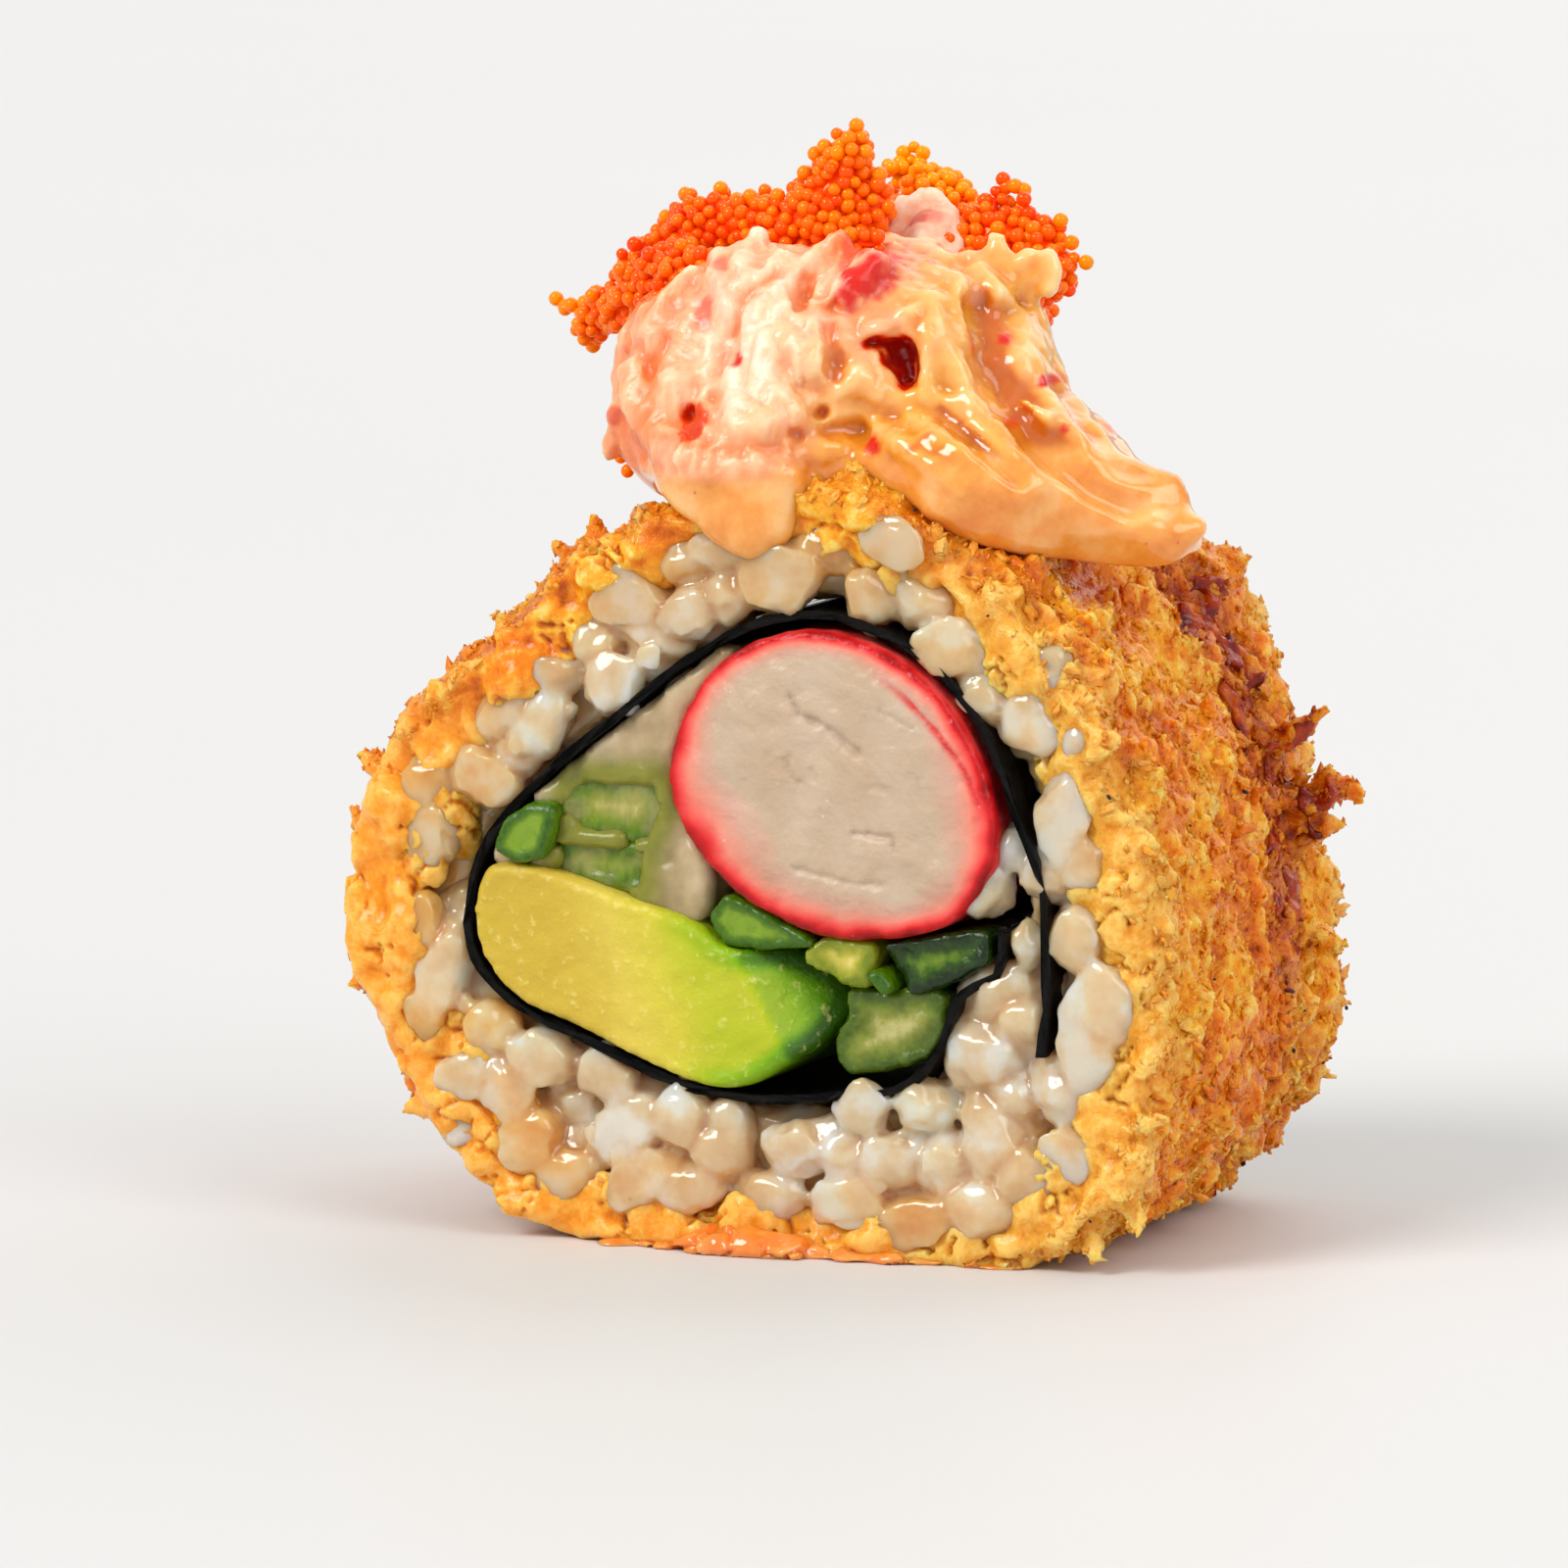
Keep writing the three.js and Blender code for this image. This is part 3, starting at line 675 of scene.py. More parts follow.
def sauceMaterial():
    # Thick soy and sugar glaze: smooth, wet, dark red-brown, clearer and redder where it is thin.
    made, tree, shader, place = newMaterial("sweet_soy_glaze", {
        "Roughness": 0.08, "IOR": 1.42, "Subsurface Weight": 0.2, "Subsurface Radius": (1.0, 0.2, 0.03),
        "Subsurface Scale": 0.9 * mm,
    })
    depth = addNode(tree, "TexNoise", {"Vector": place, "Scale": perMm(1.6), "Detail": 4.0})
    colour = addNode(tree, "ValToRGB", {"Fac": depth}, stops=[
        (0.34, "#5A0C00"), (0.46, "#881C00"), (0.56, "#AE3A00"), (0.72, "#D87408")])
    waves = addNode(tree, "TexNoise", {"Vector": place, "Scale": perMm(0.7), "Detail": 2.0})
    bump = addNode(tree, "Bump", {"Height": waves, "Strength": 0.6, "Distance": 0.25 * mm})
    feed(tree, shader, {"Base Color": colour, "Normal": bump})
    return made


finishPiece("sauce_drizzle", buildSauce(), sauceMaterial(), "crust")


# Rice: the sticky mass inside, and the grains at the two cut faces

riceLook = {
    "coreInset": 1.5, "length": 5.0, "thick": 2.7, "voxel": 0.21, "most": 190000,
    # a deeper layer, the layer that shows, a few grains in the rim of the crust, and broken bits: how
    # deep behind the cut, how far apart, how far inside the rice at least, and how many tries
    "layers": (
        (2.9, 2.6, 0.7, 4000), (1.2, 2.3, 0.75, 5200), (1.3, 2.5, -1.5, 4000), (0.75, 1.5, 0.5, 110)),
    "white": ((-17.5, 14), (-16.2, 8.2), (-16.7, 5.4), (18.9, 13.7)),  # grains that stay pure white, (x, z)
}
# Grains that show at the front face: x, z, length, width, and the turn of the long side in degrees.
frontGrains = [
    (-7, 33.5, 4.2, 2.7, 10), (-5.9, 31.8, 4.7, 2.4, -20), (-8, 29, 3.8, 2.7, 60),
    (-12.1, 26.9, 4.4, 2.7, 60), (-11.4, 29.3, 3.2, 2.4, 0), (-15.3, 24, 4.8, 2.7, -28),
    (-13.4, 25.2, 3.1, 2.5, 40), (-18.3, 20.9, 3.9, 2.6, 90), (-17.5, 14, 7, 2.5, 76),
    (-18.8, 16.3, 3.2, 2.2, 100), (-16.2, 8.2, 3.2, 2.6, 20), (-16.7, 5.4, 2.3, 1.8, 0),
    (-11.8, 9.4, 3.8, 2.8, 0), (-14.9, 10.8, 3.1, 2.9, 50), (-7.1, 6, 4.8, 3, 38), (-4.2, 6.8, 3.1, 3.1, 0),
    (-1.8, 5.5, 4.8, 2.9, 74), (2.3, 5.4, 4.1, 2.6, -10), (-12.6, 5, 4, 3.1, 90),
    (-8.4, 8.7, 3.6, 2.5, -30), (-10.7, 3.3, 4.2, 2.6, 20), (7.3, 5, 4.8, 2.6, 28), (6, 7.8, 3.2, 2.3, 10),
    (9.3, 8.1, 3.3, 2.4, -20), (12.3, 10.8, 4.4, 3.2, 30), (13, 13.7, 4.8, 3.6, 15),
    (12.8, 6.5, 4.8, 3.1, 100), (16.8, 9.4, 4, 3.1, 110), (10.3, 5.1, 3.1, 3.1, 0),
    (14.8, 4.9, 3.3, 2.8, 0), (17.2, 6, 3.1, 2.6, 30), (-3.8, 3, 4.2, 2.5, 10), (0.6, 2.9, 4.2, 2.4, -8),
    (4.9, 3, 4.2, 2.4, 5), (18.9, 13.7, 4.4, 3.1, 98), (17.4, 17.3, 3.8, 2.7, 90),
    (16.9, 23.8, 5.8, 2.7, 78), (14.8, 27.8, 3.9, 2.7, -30), (12.4, 29.2, 3.2, 2.3, -40),
    (10.9, 31.6, 4.8, 2.4, -14), (6.2, 34, 3, 2.9, 0), (7.3, 37, 4.8, 2.2, -20), (1.2, 34.8, 5.3, 3.1, 4),
    (-1.6, 34, 3.6, 2.6, 20), (-3.8, 32.8, 3.4, 2.5, 30), (16.1, 20.5, 3.6, 2.5, 90),
    (17.9, 20.8, 3.1, 2.4, 100), (13.7, 21.4, 2.6, 2.3, 10), (12.4, 19.4, 3.2, 2.6, 30),
    (14.9, 16.7, 2.7, 1.6, 90), (14.5, 12.6, 3.1, 2.6, 90), (15.5, 30.4, 3.1, 2.4, -30),
    (17.6, 27, 3.1, 2.6, 90),
]


def stickyRiceMaterial(name, dimmest, clear):
    # Cooked short-grain rice: translucent and moist, off-white, stained amber by oily batter. Starch
    # gathers amber in the clefts and gives wet glints. The shade tone darkens the clefts between grains and
    # the grains under the salad, as painted shade, over a random tone per grain.
    made, tree, shader, place = newMaterial(name, {
        "Roughness": 0.22, "IOR": 1.38, "Subsurface Weight": 0.9, "Subsurface Radius": (1.0, 0.78, 0.5),
        "Subsurface Scale": 2.0 * mm, "Coat Weight": 1.0, "Coat Roughness": 0.04,
        "Transmission Weight": clear,
    })
    cloud = addNode(tree, "TexNoise", {"Vector": place, "Scale": perMm(2.4), "Detail": 3.0})
    white = addNode(tree, "ValToRGB", {"Fac": cloud}, stops=[
        (0.34, "#ECCA9A"), (0.5, "#F9DFB8"), (0.62, "#FFF6E6")])
    honey = addNode(tree, "ValToRGB", {"Fac": cloud}, stops=[
        (0.3, "#F0A03A"), (0.52, "#FFC672"), (0.75, "#FFE2B0")])
    colour = addNode(tree, "Mix", {"Factor": "amber", "A": white, "B": honey}, data_type="RGBA")
    dull = addNode(tree, "MapRange", {"Value": "shade", "To Min": dimmest, "To Max": 1.0})
    colour = addNode(tree, "Mix", {"Factor": 1.0, "A": colour, "B": dull},
                     data_type="RGBA", blend_type="MULTIPLY")
    starch = addNode(tree, "TexNoise", {"Vector": place, "Scale": perMm(0.7), "Detail": 2.0})
    bump = addNode(tree, "Bump", {"Height": starch, "Strength": 0.35, "Distance": 0.15 * mm})
    feed(tree, shader, {"Base Color": colour, "Normal": bump})
    return made


def buildRiceCore():
    shape = cadCopy("rice")
    squeeze = (faceY - riceLook["coreInset"]) / faceY
    bmesh.ops.scale(shape, vec=(1, squeeze, 1), verts=shape.verts)
    mesh = smoothed(skinOver(shape, 0.5), 2)
    points = pointsOf(mesh)
    pushOut(mesh, 0.5 * ripple(points, 1.6, 41, 3) * smoothStep(9, 11, np.abs(points[:, 1])))
    paint(mesh, "amber", smoothStep(5.5, 1.5, distances(points, crustTree)) * 0.6 + 0.4)
    paint(mesh, "shade", 0.35 + 0.3 * ripple(points, 1.5, 42, 2))
    return mesh


def grainShape(seed):
    # One cooked grain lying along x, one unit long and wide: blunt, dented, a little bent.
    shape = bmesh.new()
    bmesh.ops.create_uvsphere(shape, u_segments=14, v_segments=10, radius=0.5)
    bmesh.ops.rotate(shape, matrix=Matrix.Rotation(math.pi / 2, 3, "Y"), verts=shape.verts)
    for vert in shape.verts:
        x, y, z = 2 * vert.co
        lump = 1 + 0.45 * noise.noise(vert.co * 2.6 + Vector((seed * 2.3, 0, 0)))
        fine = 1 + 0.16 * noise.noise(vert.co * 5 + Vector((0, seed * 1.7, 0)))
        blunt = (1 + 0.25 * (1 - x * x)) * lump * fine
        bend = 0.2 * x * x * (-1) ** seed
        vert.co = Vector((x * (0.94 + 0.1 * lump), y * blunt + bend, z * blunt)) * 0.48
    return toMesh(shape)


def sideOf(tree, x, z):
    # How far inside a node a place on its cut face is, below zero outside, and its nearest wall.
    point = Vector((x, 0, z))
    spot, normal, _, distance = tree.find_nearest(point)
    return (distance if (point - spot).dot(normal) < 0 else -distance), normal


def buried(x, z):
    # How far in from the crust's outer side a place on the cut face is.
    out = Vector((x, 0, z - rollMiddle.z)).normalized()
    wall = crustTree.ray_cast(rollMiddle + out * 60, -out)[0]
    return (wall - Vector((x, 0, z))).dot(out)


def grainCopies():
    shapes = [grainShape(n) for n in range(12)]
    copies = []

    def addGrain(x, z, end, inset, long, wide, along, lean, white=0.0):
        spot = Vector((x, end * (faceY - inset), z))
        toCrust = crustTree.find_nearest(Vector((x, 0, z)))[3] if sideOf(crustTree, x, z)[0] < 0 else 0
        oiled = float(smoothStep(3.8, 0.6, toCrust + dice.uniform(-1.4, 1.2)))
        amber = oiled * dice.uniform(0.45, 0.95) * (1 - white)
        amber *= 0.55 if x > 9 else 1.35
        thick = wide * dice.uniform(0.7, 1)
        grain = dice.choice(shapes)
        up = Vector((0, end, 0)) + lean * anyDirection()
        tints = {"amber": amber, "shade": max(dice.random(), white)}
        copies.append((grain, laidOn(spot, up, along, (long, wide, thick)), tints))

    for x, z, long, wide, turn in frontGrains:
        turn = math.radians(turn)
        along = Vector((math.cos(turn), dice.uniform(-0.2, 0.2), math.sin(turn)))
        white = 0.9 if (x, z) in riceLook["white"] else 0.0
        onRim = sideOf(riceTree, x, z)[0] < 0.4
        inset = (1.6 if x > 9 else 0.9) if onRim else 1.2
        addGrain(x, z, -1, inset + dice.uniform(-0.35, 0.35), long * 1.05, wide * 1.05, along, 0.35, white)
    for end in (-1, 1):
        for inset, spacing, least, tries in riceLook["layers"]:
            besideThem = end == -1 and inset in (1.2, 1.3)
            taken = [(Vector((g[0], 0, g[1])), None, 9) for g in frontGrains] if besideThem else []
            spots = []
            for _ in range(tries):
                x, z = dice.uniform(-21, 21), dice.uniform(2, 39)
                depth, wall = sideOf(riceTree, x, z)
                inCrust = sideOf(crustTree, x, z)[0]
                if least > 0:
                    fits = depth > least
                else:
                    fits = (-1.5 < depth < 0.2 and 0 < inCrust < 1.4 and buried(x, z) > 2.4
                            and x < 5 and dice.random() < 0.6)
                if fits:
                    spots.append((Vector((x, 0, z)), wall, depth))
            for place, wall, depth in spreadOut(taken + spots, spacing):
                if wall is None:
                    continue
                mix = float(smoothStep(2.6, 1.0, depth))
                turned = Vector((dice.gauss(0, 1), 0, dice.gauss(0, 1))).normalized()
                edgewise = Vector((-wall.z, 0, wall.x)) * dice.choice((-1, 1))
                along = turned * (1 - mix) + edgewise * (0.25 + mix)
                tip = dice.uniform(1.1, 1.5) if dice.random() < 0.2 else dice.uniform(-0.5, 0.5)
                along = along.normalized() * math.cos(tip) + Vector((0, 1, 0)) * math.sin(tip)
                size = dice.uniform(0.85, 1.1) * (0.42 if inset == 0.75 else 1)
                deep = inset + dice.uniform(-0.5, 0.5) + (1 if abs(tip) > 1 and size > 0.6 else 0)
                addGrain(place.x, place.z, end, deep, riceLook["length"] * size * dice.uniform(0.7, 1.15),
                         riceLook["thick"] * size, along, 0.6)
    return copies


def buildGrains(copies):
    # Cooked grains cling together, so one skin runs over them with a cleft between each two.
    heap = heapOf([(shape, matrix, {}) for shape, matrix, _ in copies])
    mesh = smoothed(skinOver(heap, riceLook["voxel"]), 2)
    points = pointsOf(mesh)
    first, second = np.full(len(points), 9.0), np.full(len(points), 9.0)
    amber, shade = np.zeros(len(points)), np.zeros(len(points))
    for _, matrix, values in copies:
        spot = np.array(matrix.translation)
        near = np.nonzero(((points - spot) ** 2).sum(1) < 12)[0]
        back = np.array(matrix.inverted())
        far = np.linalg.norm(points[near] @ back[:3, :3].T + back[:3, 3], axis=1) * 2
        best = far < first[near]
        second[near] = np.where(best, first[near], np.minimum(second[near], far))
        first[near[best]] = far[best]
        amber[near[best]], shade[near[best]] = values["amber"], values["shade"]
    cleft = smoothStep(0.3, 0.0, second - first)
    amber = smoothedOver(mesh, amber, 25)
    shade = smoothedOver(mesh, shade, 6)
    pushOut(mesh, 0.12 * ripple(points, 1.1, 55, 2) + 0.16 * (ridges(points, 1.7, 58) - 0.5) - 0.1 * cleft)
    cutFlat(mesh, -0.1, 51)
    # painted shadow of the salad on the grains beneath it
    saladShadowPainted = smoothStep(32.5, 36, points[:, 2])
    paint(mesh, "amber", np.clip(amber + 0.25 * cleft, 0, 1))
    # a random tone per grain, darkened as painted shade in the clefts and under the salad
    shade = 0.3 + 0.7 * shade - 0.3 * cleft - 0.8 * saladShadowPainted + 0.25 * ripple(points, 1.2, 57, 2)
    paint(mesh, "shade", np.clip(shade, 0, 1))
    return thinned(mesh, riceLook["most"])


finishPiece("rice_core", buildRiceCore(), stickyRiceMaterial("sticky_rice_inside", 0.6, 0.0), "rice")
grainRice = stickyRiceMaterial("short_grain_rice", 0.8, 0.3)
finishPiece("rice_grains", buildGrains(grainCopies()), grainRice, "rice", "rice")


# Nori: a sheet of dried seaweed, gone soft and shiny

def buildNori():
    shape = cadCopy("nori")
    for cut in np.linspace(-faceY + 0.5, faceY - 0.5, 30):
        everything = shape.verts[:] + shape.edges[:] + shape.faces[:]
        bmesh.ops.bisect_plane(shape, geom=everything, dist=0.001, plane_co=(0, cut, 0), plane_no=(0, 1, 0))
    long = [e for e in shape.edges if e.calc_length() > 1.3]
    bmesh.ops.subdivide_edges(shape, edges=long, cuts=1)
    bmesh.ops.triangulate(shape, faces=shape.faces[:])
    mesh = toMesh(shape)
    points = pointsOf(mesh)
    pushOut(mesh, 0.13 * ripple(points, 1.6, 71, 3) - 0.13)
    points = pointsOf(mesh)
    ends = smoothStep(faceY - 1.2, faceY, np.abs(points[:, 1]))
    moveBy(mesh, outOfFace(points, ends * (0.5 * ripple(points * [1, 0.2, 1], 1.5, 72, 3) - 0.45)))
    return mesh


def noriMaterial():
    # Roasted laver: blackish green, crinkled, with a thin gloss where it is wet.
    made, tree, shader, place = newMaterial("nori_sheet", {
        "Roughness": 0.24, "IOR": 1.45, "Specular IOR Level": 0.2,
    })
    fibres = addNode(tree, "TexNoise", {
        "Vector": place, "Scale": perMm(0.8), "Detail": 6.0, "Roughness": 0.7})
    colour = addNode(tree, "ValToRGB", {"Fac": fibres}, stops=[
        (0.35, "#020202"), (0.6, "#060606"), (0.8, "#141009")])
    bump = addNode(tree, "Bump", {"Height": fibres, "Strength": 1.0, "Distance": 0.5 * mm})
    feed(tree, shader, {"Base Color": colour, "Normal": bump})
    return made


finishPiece("nori_wrap", buildNori(), noriMaterial(), "nori", "nori")


# The fillings

def fillingMesh(node, voxel, grow, rounds=3):
    mesh = smoothed(skinOver(cadCopy(node), voxel), rounds)
    sides = smoothedOver(mesh, 1 - smoothStep(0.6, 0.95, np.abs(normalsOf(mesh)[:, 1])), 4)
    pushOut(mesh, grow * sides)  # the fillings press against each other
    return mesh


def rimDistance(mesh, node):
    # How far each point is inside the filling's outline, seen end on.
    return distances(pointsOf(mesh) * [1, 0, 1], treeOf(node))


def finer(mesh, near):
    # Halves the edges on the cut faces where near(points) says so.
    shape = bmesh.new()
    shape.from_mesh(mesh)
    chosen = near(pointsOf(mesh)) & (np.abs(pointsOf(mesh)[:, 1]) > faceY - 1.2)
    edges = [e for e in shape.edges if chosen[e.verts[0].index] and chosen[e.verts[1].index]]
    bmesh.ops.subdivide_edges(shape, edges=edges, cuts=1)
    bmesh.ops.triangulate(shape, faces=shape.faces[:])
    shape.to_mesh(mesh)
    shape.free()
    return mesh


def moveFace(mesh, amounts):
    # Moves the cut faces out by an amount each, and the inside not at all.
    points = pointsOf(mesh)
    ends = smoothStep(faceY - 2, faceY - 0.6, np.abs(points[:, 1]))
    moveBy(mesh, outOfFace(points, ends * amounts))


stickLook = {
    "middle": (4.7, 24.4),
    # slits between the layers of the stick, as they open at the cut: the line, its depth and width
    "slits": [
        ([(2.4, 28.9), (2.9, 28), (4.4, 27.5), (6.2, 26.2)], 0.6, 0.2),
        ([(5.9, 22.1), (8, 22), (8.2, 21.3)], 0.45, 0.14),
        ([(2.2, 25.8), (2.5, 24.9), (2.9, 24.5)], 0.3, 0.16), ([(3.6, 25.2), (3.8, 24.8)], 0.25, 0.2),
        ([(7.4, 28.4), (9.2, 27.6)], 0.2, 0.14), ([(2.6, 20.2), (5.4, 19.6), (7.4, 19.5)], 0.32, 0.16),
        ([(9.4, 25), (9.8, 23.4)], 0.16, 0.15), ([(6.6, 24.4), (7.4, 24.6), (7.9, 24.2)], 0.14, 0.2),
    ],
    # the thin red layer that shows inside the right side
    "layer": [(6.6, 30.6), (8.6, 29.2), (10.4, 27.4), (11.8, 25.6), (12.6, 23.9)],
}


def buildCrabStick():
    lines = [line for line, _, _ in stickLook["slits"]] + [stickLook["layer"]]
    mesh = fillingMesh("crab_stick", 0.25, 0.2)
    mesh = finer(mesh, lambda points: np.min([along2d(points, line) for line in lines], 0) < 0.5)
    points = pointsOf(mesh)
    rim = rimDistance(mesh, "crab_stick")
    slits = np.zeros(len(points))
    for line, depth, width in stickLook["slits"]:
        ragged = along2d(points, line) + 0.12 * ripple(points, 0.7, 87, 2)
        slits = np.maximum(slits, 0.55 * depth * np.exp(-(ragged / width) ** 2))
    layer = np.exp(-((along2d(points, stickLook["layer"]) + 0.1 * ripple(points, 1, 88, 2)) / 0.17) ** 2)
    layer = layer * smoothStep(30.8, 28.4, points[:, 2])
    moveFace(mesh, 0.2 * ripple(points, 2.6, 81, 3) + 0.06 * ripple(points, 0.5, 82, 2)
             + 0.4 * smoothStep(0, 2.5, rim) - 0.25 - slits - 0.14 * layer)
    pushOut(mesh, 0.06 * ripple(points, 1.2, 83, 3))
    middle = stickLook["middle"]
    angle = np.degrees(np.arctan2(points[:, 2] - middle[1], points[:, 0] - middle[0]))
    wander = angle + 10 * ripple(points, 4, 86, 1)
    # the dye has bled wide at the lower left, less below and at the right, and little at the top
    reach = np.full(len(points), 0.8)
    for way, wide, more in ((-158, 38, 1.9), (-90, 30, 0.7), (-10, 32, 1.1)):
        reach += more * np.exp(-(((wander - way + 180) % 360 - 180) / wide) ** 2)
    paint(mesh, "dye", np.clip(rim / reach + 0.16 * ripple(points, 1.6, 85, 2), 0, 2) / 2)
    paint(mesh, "layer", layer * np.abs(points[:, 1]) / faceY)
    paint(mesh, "slit", np.clip(slits, 0, 1))
    return mesh


def crabStickMaterial():
    # Surimi: steamed white fish paste, dense, moist and faintly translucent, dyed red on the outside.
    # The dye bleeds 1 to 3 mm inwards.
    made, tree, shader, place = newMaterial("surimi", {
        "Roughness": 0.28, "IOR": 1.38, "Subsurface Weight": 0.35, "Subsurface Radius": (1.0, 0.6, 0.4),
        "Subsurface Scale": 0.6 * mm, "Specular IOR Level": 0.45,
    })
    colour = addNode(tree, "ValToRGB", {"Fac": "dye"}, stops=[
        (0.0, "#9A0408"), (0.07, "#D81C20"), (0.15, "#F25650"), (0.3, "#EE9480"), (0.5, "#D6A894"),
        (0.8, "#CAB49C")])
    paste = addNode(tree, "TexNoise", {"Vector": place, "Scale": perMm(2.4), "Detail": 5.0})
    cloud = addNode(tree, "ValToRGB", {"Fac": paste}, stops=[(0.3, "#F6EEE4"), (0.68, "#FFFFFF")])
    colour = addNode(
        tree, "Mix", {"Factor": 0.9, "A": colour, "B": cloud}, data_type="RGBA", blend_type="MULTIPLY")
    specks = addNode(tree, "TexNoise", {"Vector": place, "Scale": perMm(0.5), "Detail": 2.0})
    white = addNode(tree, "ValToRGB", {"Fac": specks}, stops=[(0.72, 0.0), (0.82, 0.4)])
    for share, tint in (("layer", "#DC3A3A"), ("slit", "#CDB29A"), (white, "#FAF0E4")):
        colour = addNode(tree, "Mix", {"Factor": share, "A": colour, "B": tint}, data_type="RGBA")
    paste = addNode(tree, "TexNoise", {"Vector": place, "Scale": perMm(0.4), "Detail": 4.0})
    bump = addNode(tree, "Bump", {"Height": paste, "Strength": 0.6, "Distance": 0.16 * mm})
    feed(tree, shader, {"Base Color": colour, "Normal": bump})
    return made


finishPiece("surimi_stick", buildCrabStick(), crabStickMaterial(), "crab_stick", "crab_stick")


def buildAvocado():
    mesh = fillingMesh("avocado", 0.28, 0.38, 2)
    points = pointsOf(mesh)
    # the right end is a second, steeper cut that leans back from the face
    past = points[:, 0] + 0.55 * (points[:, 2] - 13) - 0.6
    waves = 0.16 * ripple(points, 2.5, 91, 3) + 0.07 * ripple(points, 0.5, 92, 2)
    moveFace(mesh, waves - 0.8 * np.maximum(past, 0))
    green = smoothStep(-11, -1.5, points[:, 0] + 0.25 * (points[:, 2] - 13)) * 0.56
    green = (green + 0.14 * smoothStep(-0.3, 0.3, past) + 0.22 * smoothStep(0.6, 3.4, past)
             + 0.05 * ripple(points, 3, 93, 2))
    skinSide = smoothStep(1.1, 0.2, rimDistance(mesh, "avocado")) * smoothStep(-7, 2, points[:, 0])
    paint(mesh, "green", np.clip(green + 0.25 * skinSide, 0, 1))
    return mesh


def avocadoMaterial():
    # Ripe avocado flesh: buttery and smooth, yellow by the stone and green by the skin, with pale
    # flecks of fibre about 0.3 mm wide.
    made, tree, shader, place = newMaterial("avocado_flesh", {
        "Roughness": 0.32, "IOR": 1.42, "Subsurface Weight": 0.3, "Subsurface Radius": (0.9, 1.0, 0.2),
        "Subsurface Scale": 0.8 * mm, "Specular IOR Level": 0.4,
    })
    colour = addNode(tree, "ValToRGB", {"Fac": "green"}, stops=[
        (0.0, "#CCAE3A"), (0.22, "#DAC44E"), (0.45, "#D2C63C"), (0.6, "#B2BE1E"), (0.76, "#84B008"),
        (0.88, "#5A8E04"), (1.0, "#2E5602")])
    flecks = addNode(tree, "TexNoise", {
        "Vector": place, "Scale": perMm(0.6), "Detail": 4.0, "Roughness": 0.6})
    pale = addNode(tree, "ValToRGB", {"Fac": flecks}, stops=[(0.58, 0.0), (0.72, 0.5)])
    colour = addNode(tree, "Mix", {"Factor": pale, "A": colour, "B": "#F2E48C"}, data_type="RGBA")
    bump = addNode(tree, "Bump", {"Height": flecks, "Strength": 0.6, "Distance": 0.22 * mm})
    feed(tree, shader, {"Base Color": colour, "Normal": bump})
    return made


finishPiece("avocado_slice", buildAvocado(), avocadoMaterial(), "avocado", "avocado")

cucumberTrees = [treeOf("cucumber_upper"), treeOf("cucumber_lower")]


def softMesh(node, voxel, wave, seed, grow, rounds=2):
    mesh = fillingMesh(node, voxel, grow, rounds)
    points = pointsOf(mesh)
    moveFace(mesh, 2.2 * wave * ripple(points, 1.5, seed + 2, 2))
    pushOut(mesh, wave * ripple(points, 1.3, seed, 3) + 0.3 * wave * ripple(points, 0.45, seed + 1, 2))
    paint(mesh, "rim", rimDistance(mesh, node))
    if node == "soft_cheese":
        near = np.minimum(distances(points, cucumberTrees[0]), distances(points, cucumberTrees[1]))
        paint(mesh, "green", smoothStep(2, 0.6, near))
    return mesh


def cheeseMaterial():
    # Cream cheese: matt, dense and smooth, a warm grey-white thinned by moisture, so that the green
    # next to it shows through.
    made, tree, shader, place = newMaterial("cream_cheese", {
        "Roughness": 0.22, "IOR": 1.4, "Subsurface Weight": 0.5, "Subsurface Radius": (1.0, 0.8, 0.55),
        "Subsurface Scale": 1.0 * mm, "Specular IOR Level": 0.45,
    })
    cloud = addNode(tree, "TexNoise", {"Vector": place, "Scale": perMm(3.0), "Detail": 4.0})
    colour = addNode(tree, "ValToRGB", {"Fac": cloud}, stops=[
        (0.3, "#A08A62"), (0.5, "#BCA680"), (0.72, "#D2BE9C")])
    colour = addNode(tree, "Mix", {"Factor": "green", "A": colour, "B": "#868632"}, data_type="RGBA")
    bump = addNode(tree, "Bump", {"Height": cloud, "Strength": 0.4, "Distance": 0.5 * mm})
    feed(tree, shader, {"Base Color": colour, "Normal": bump})
    return made


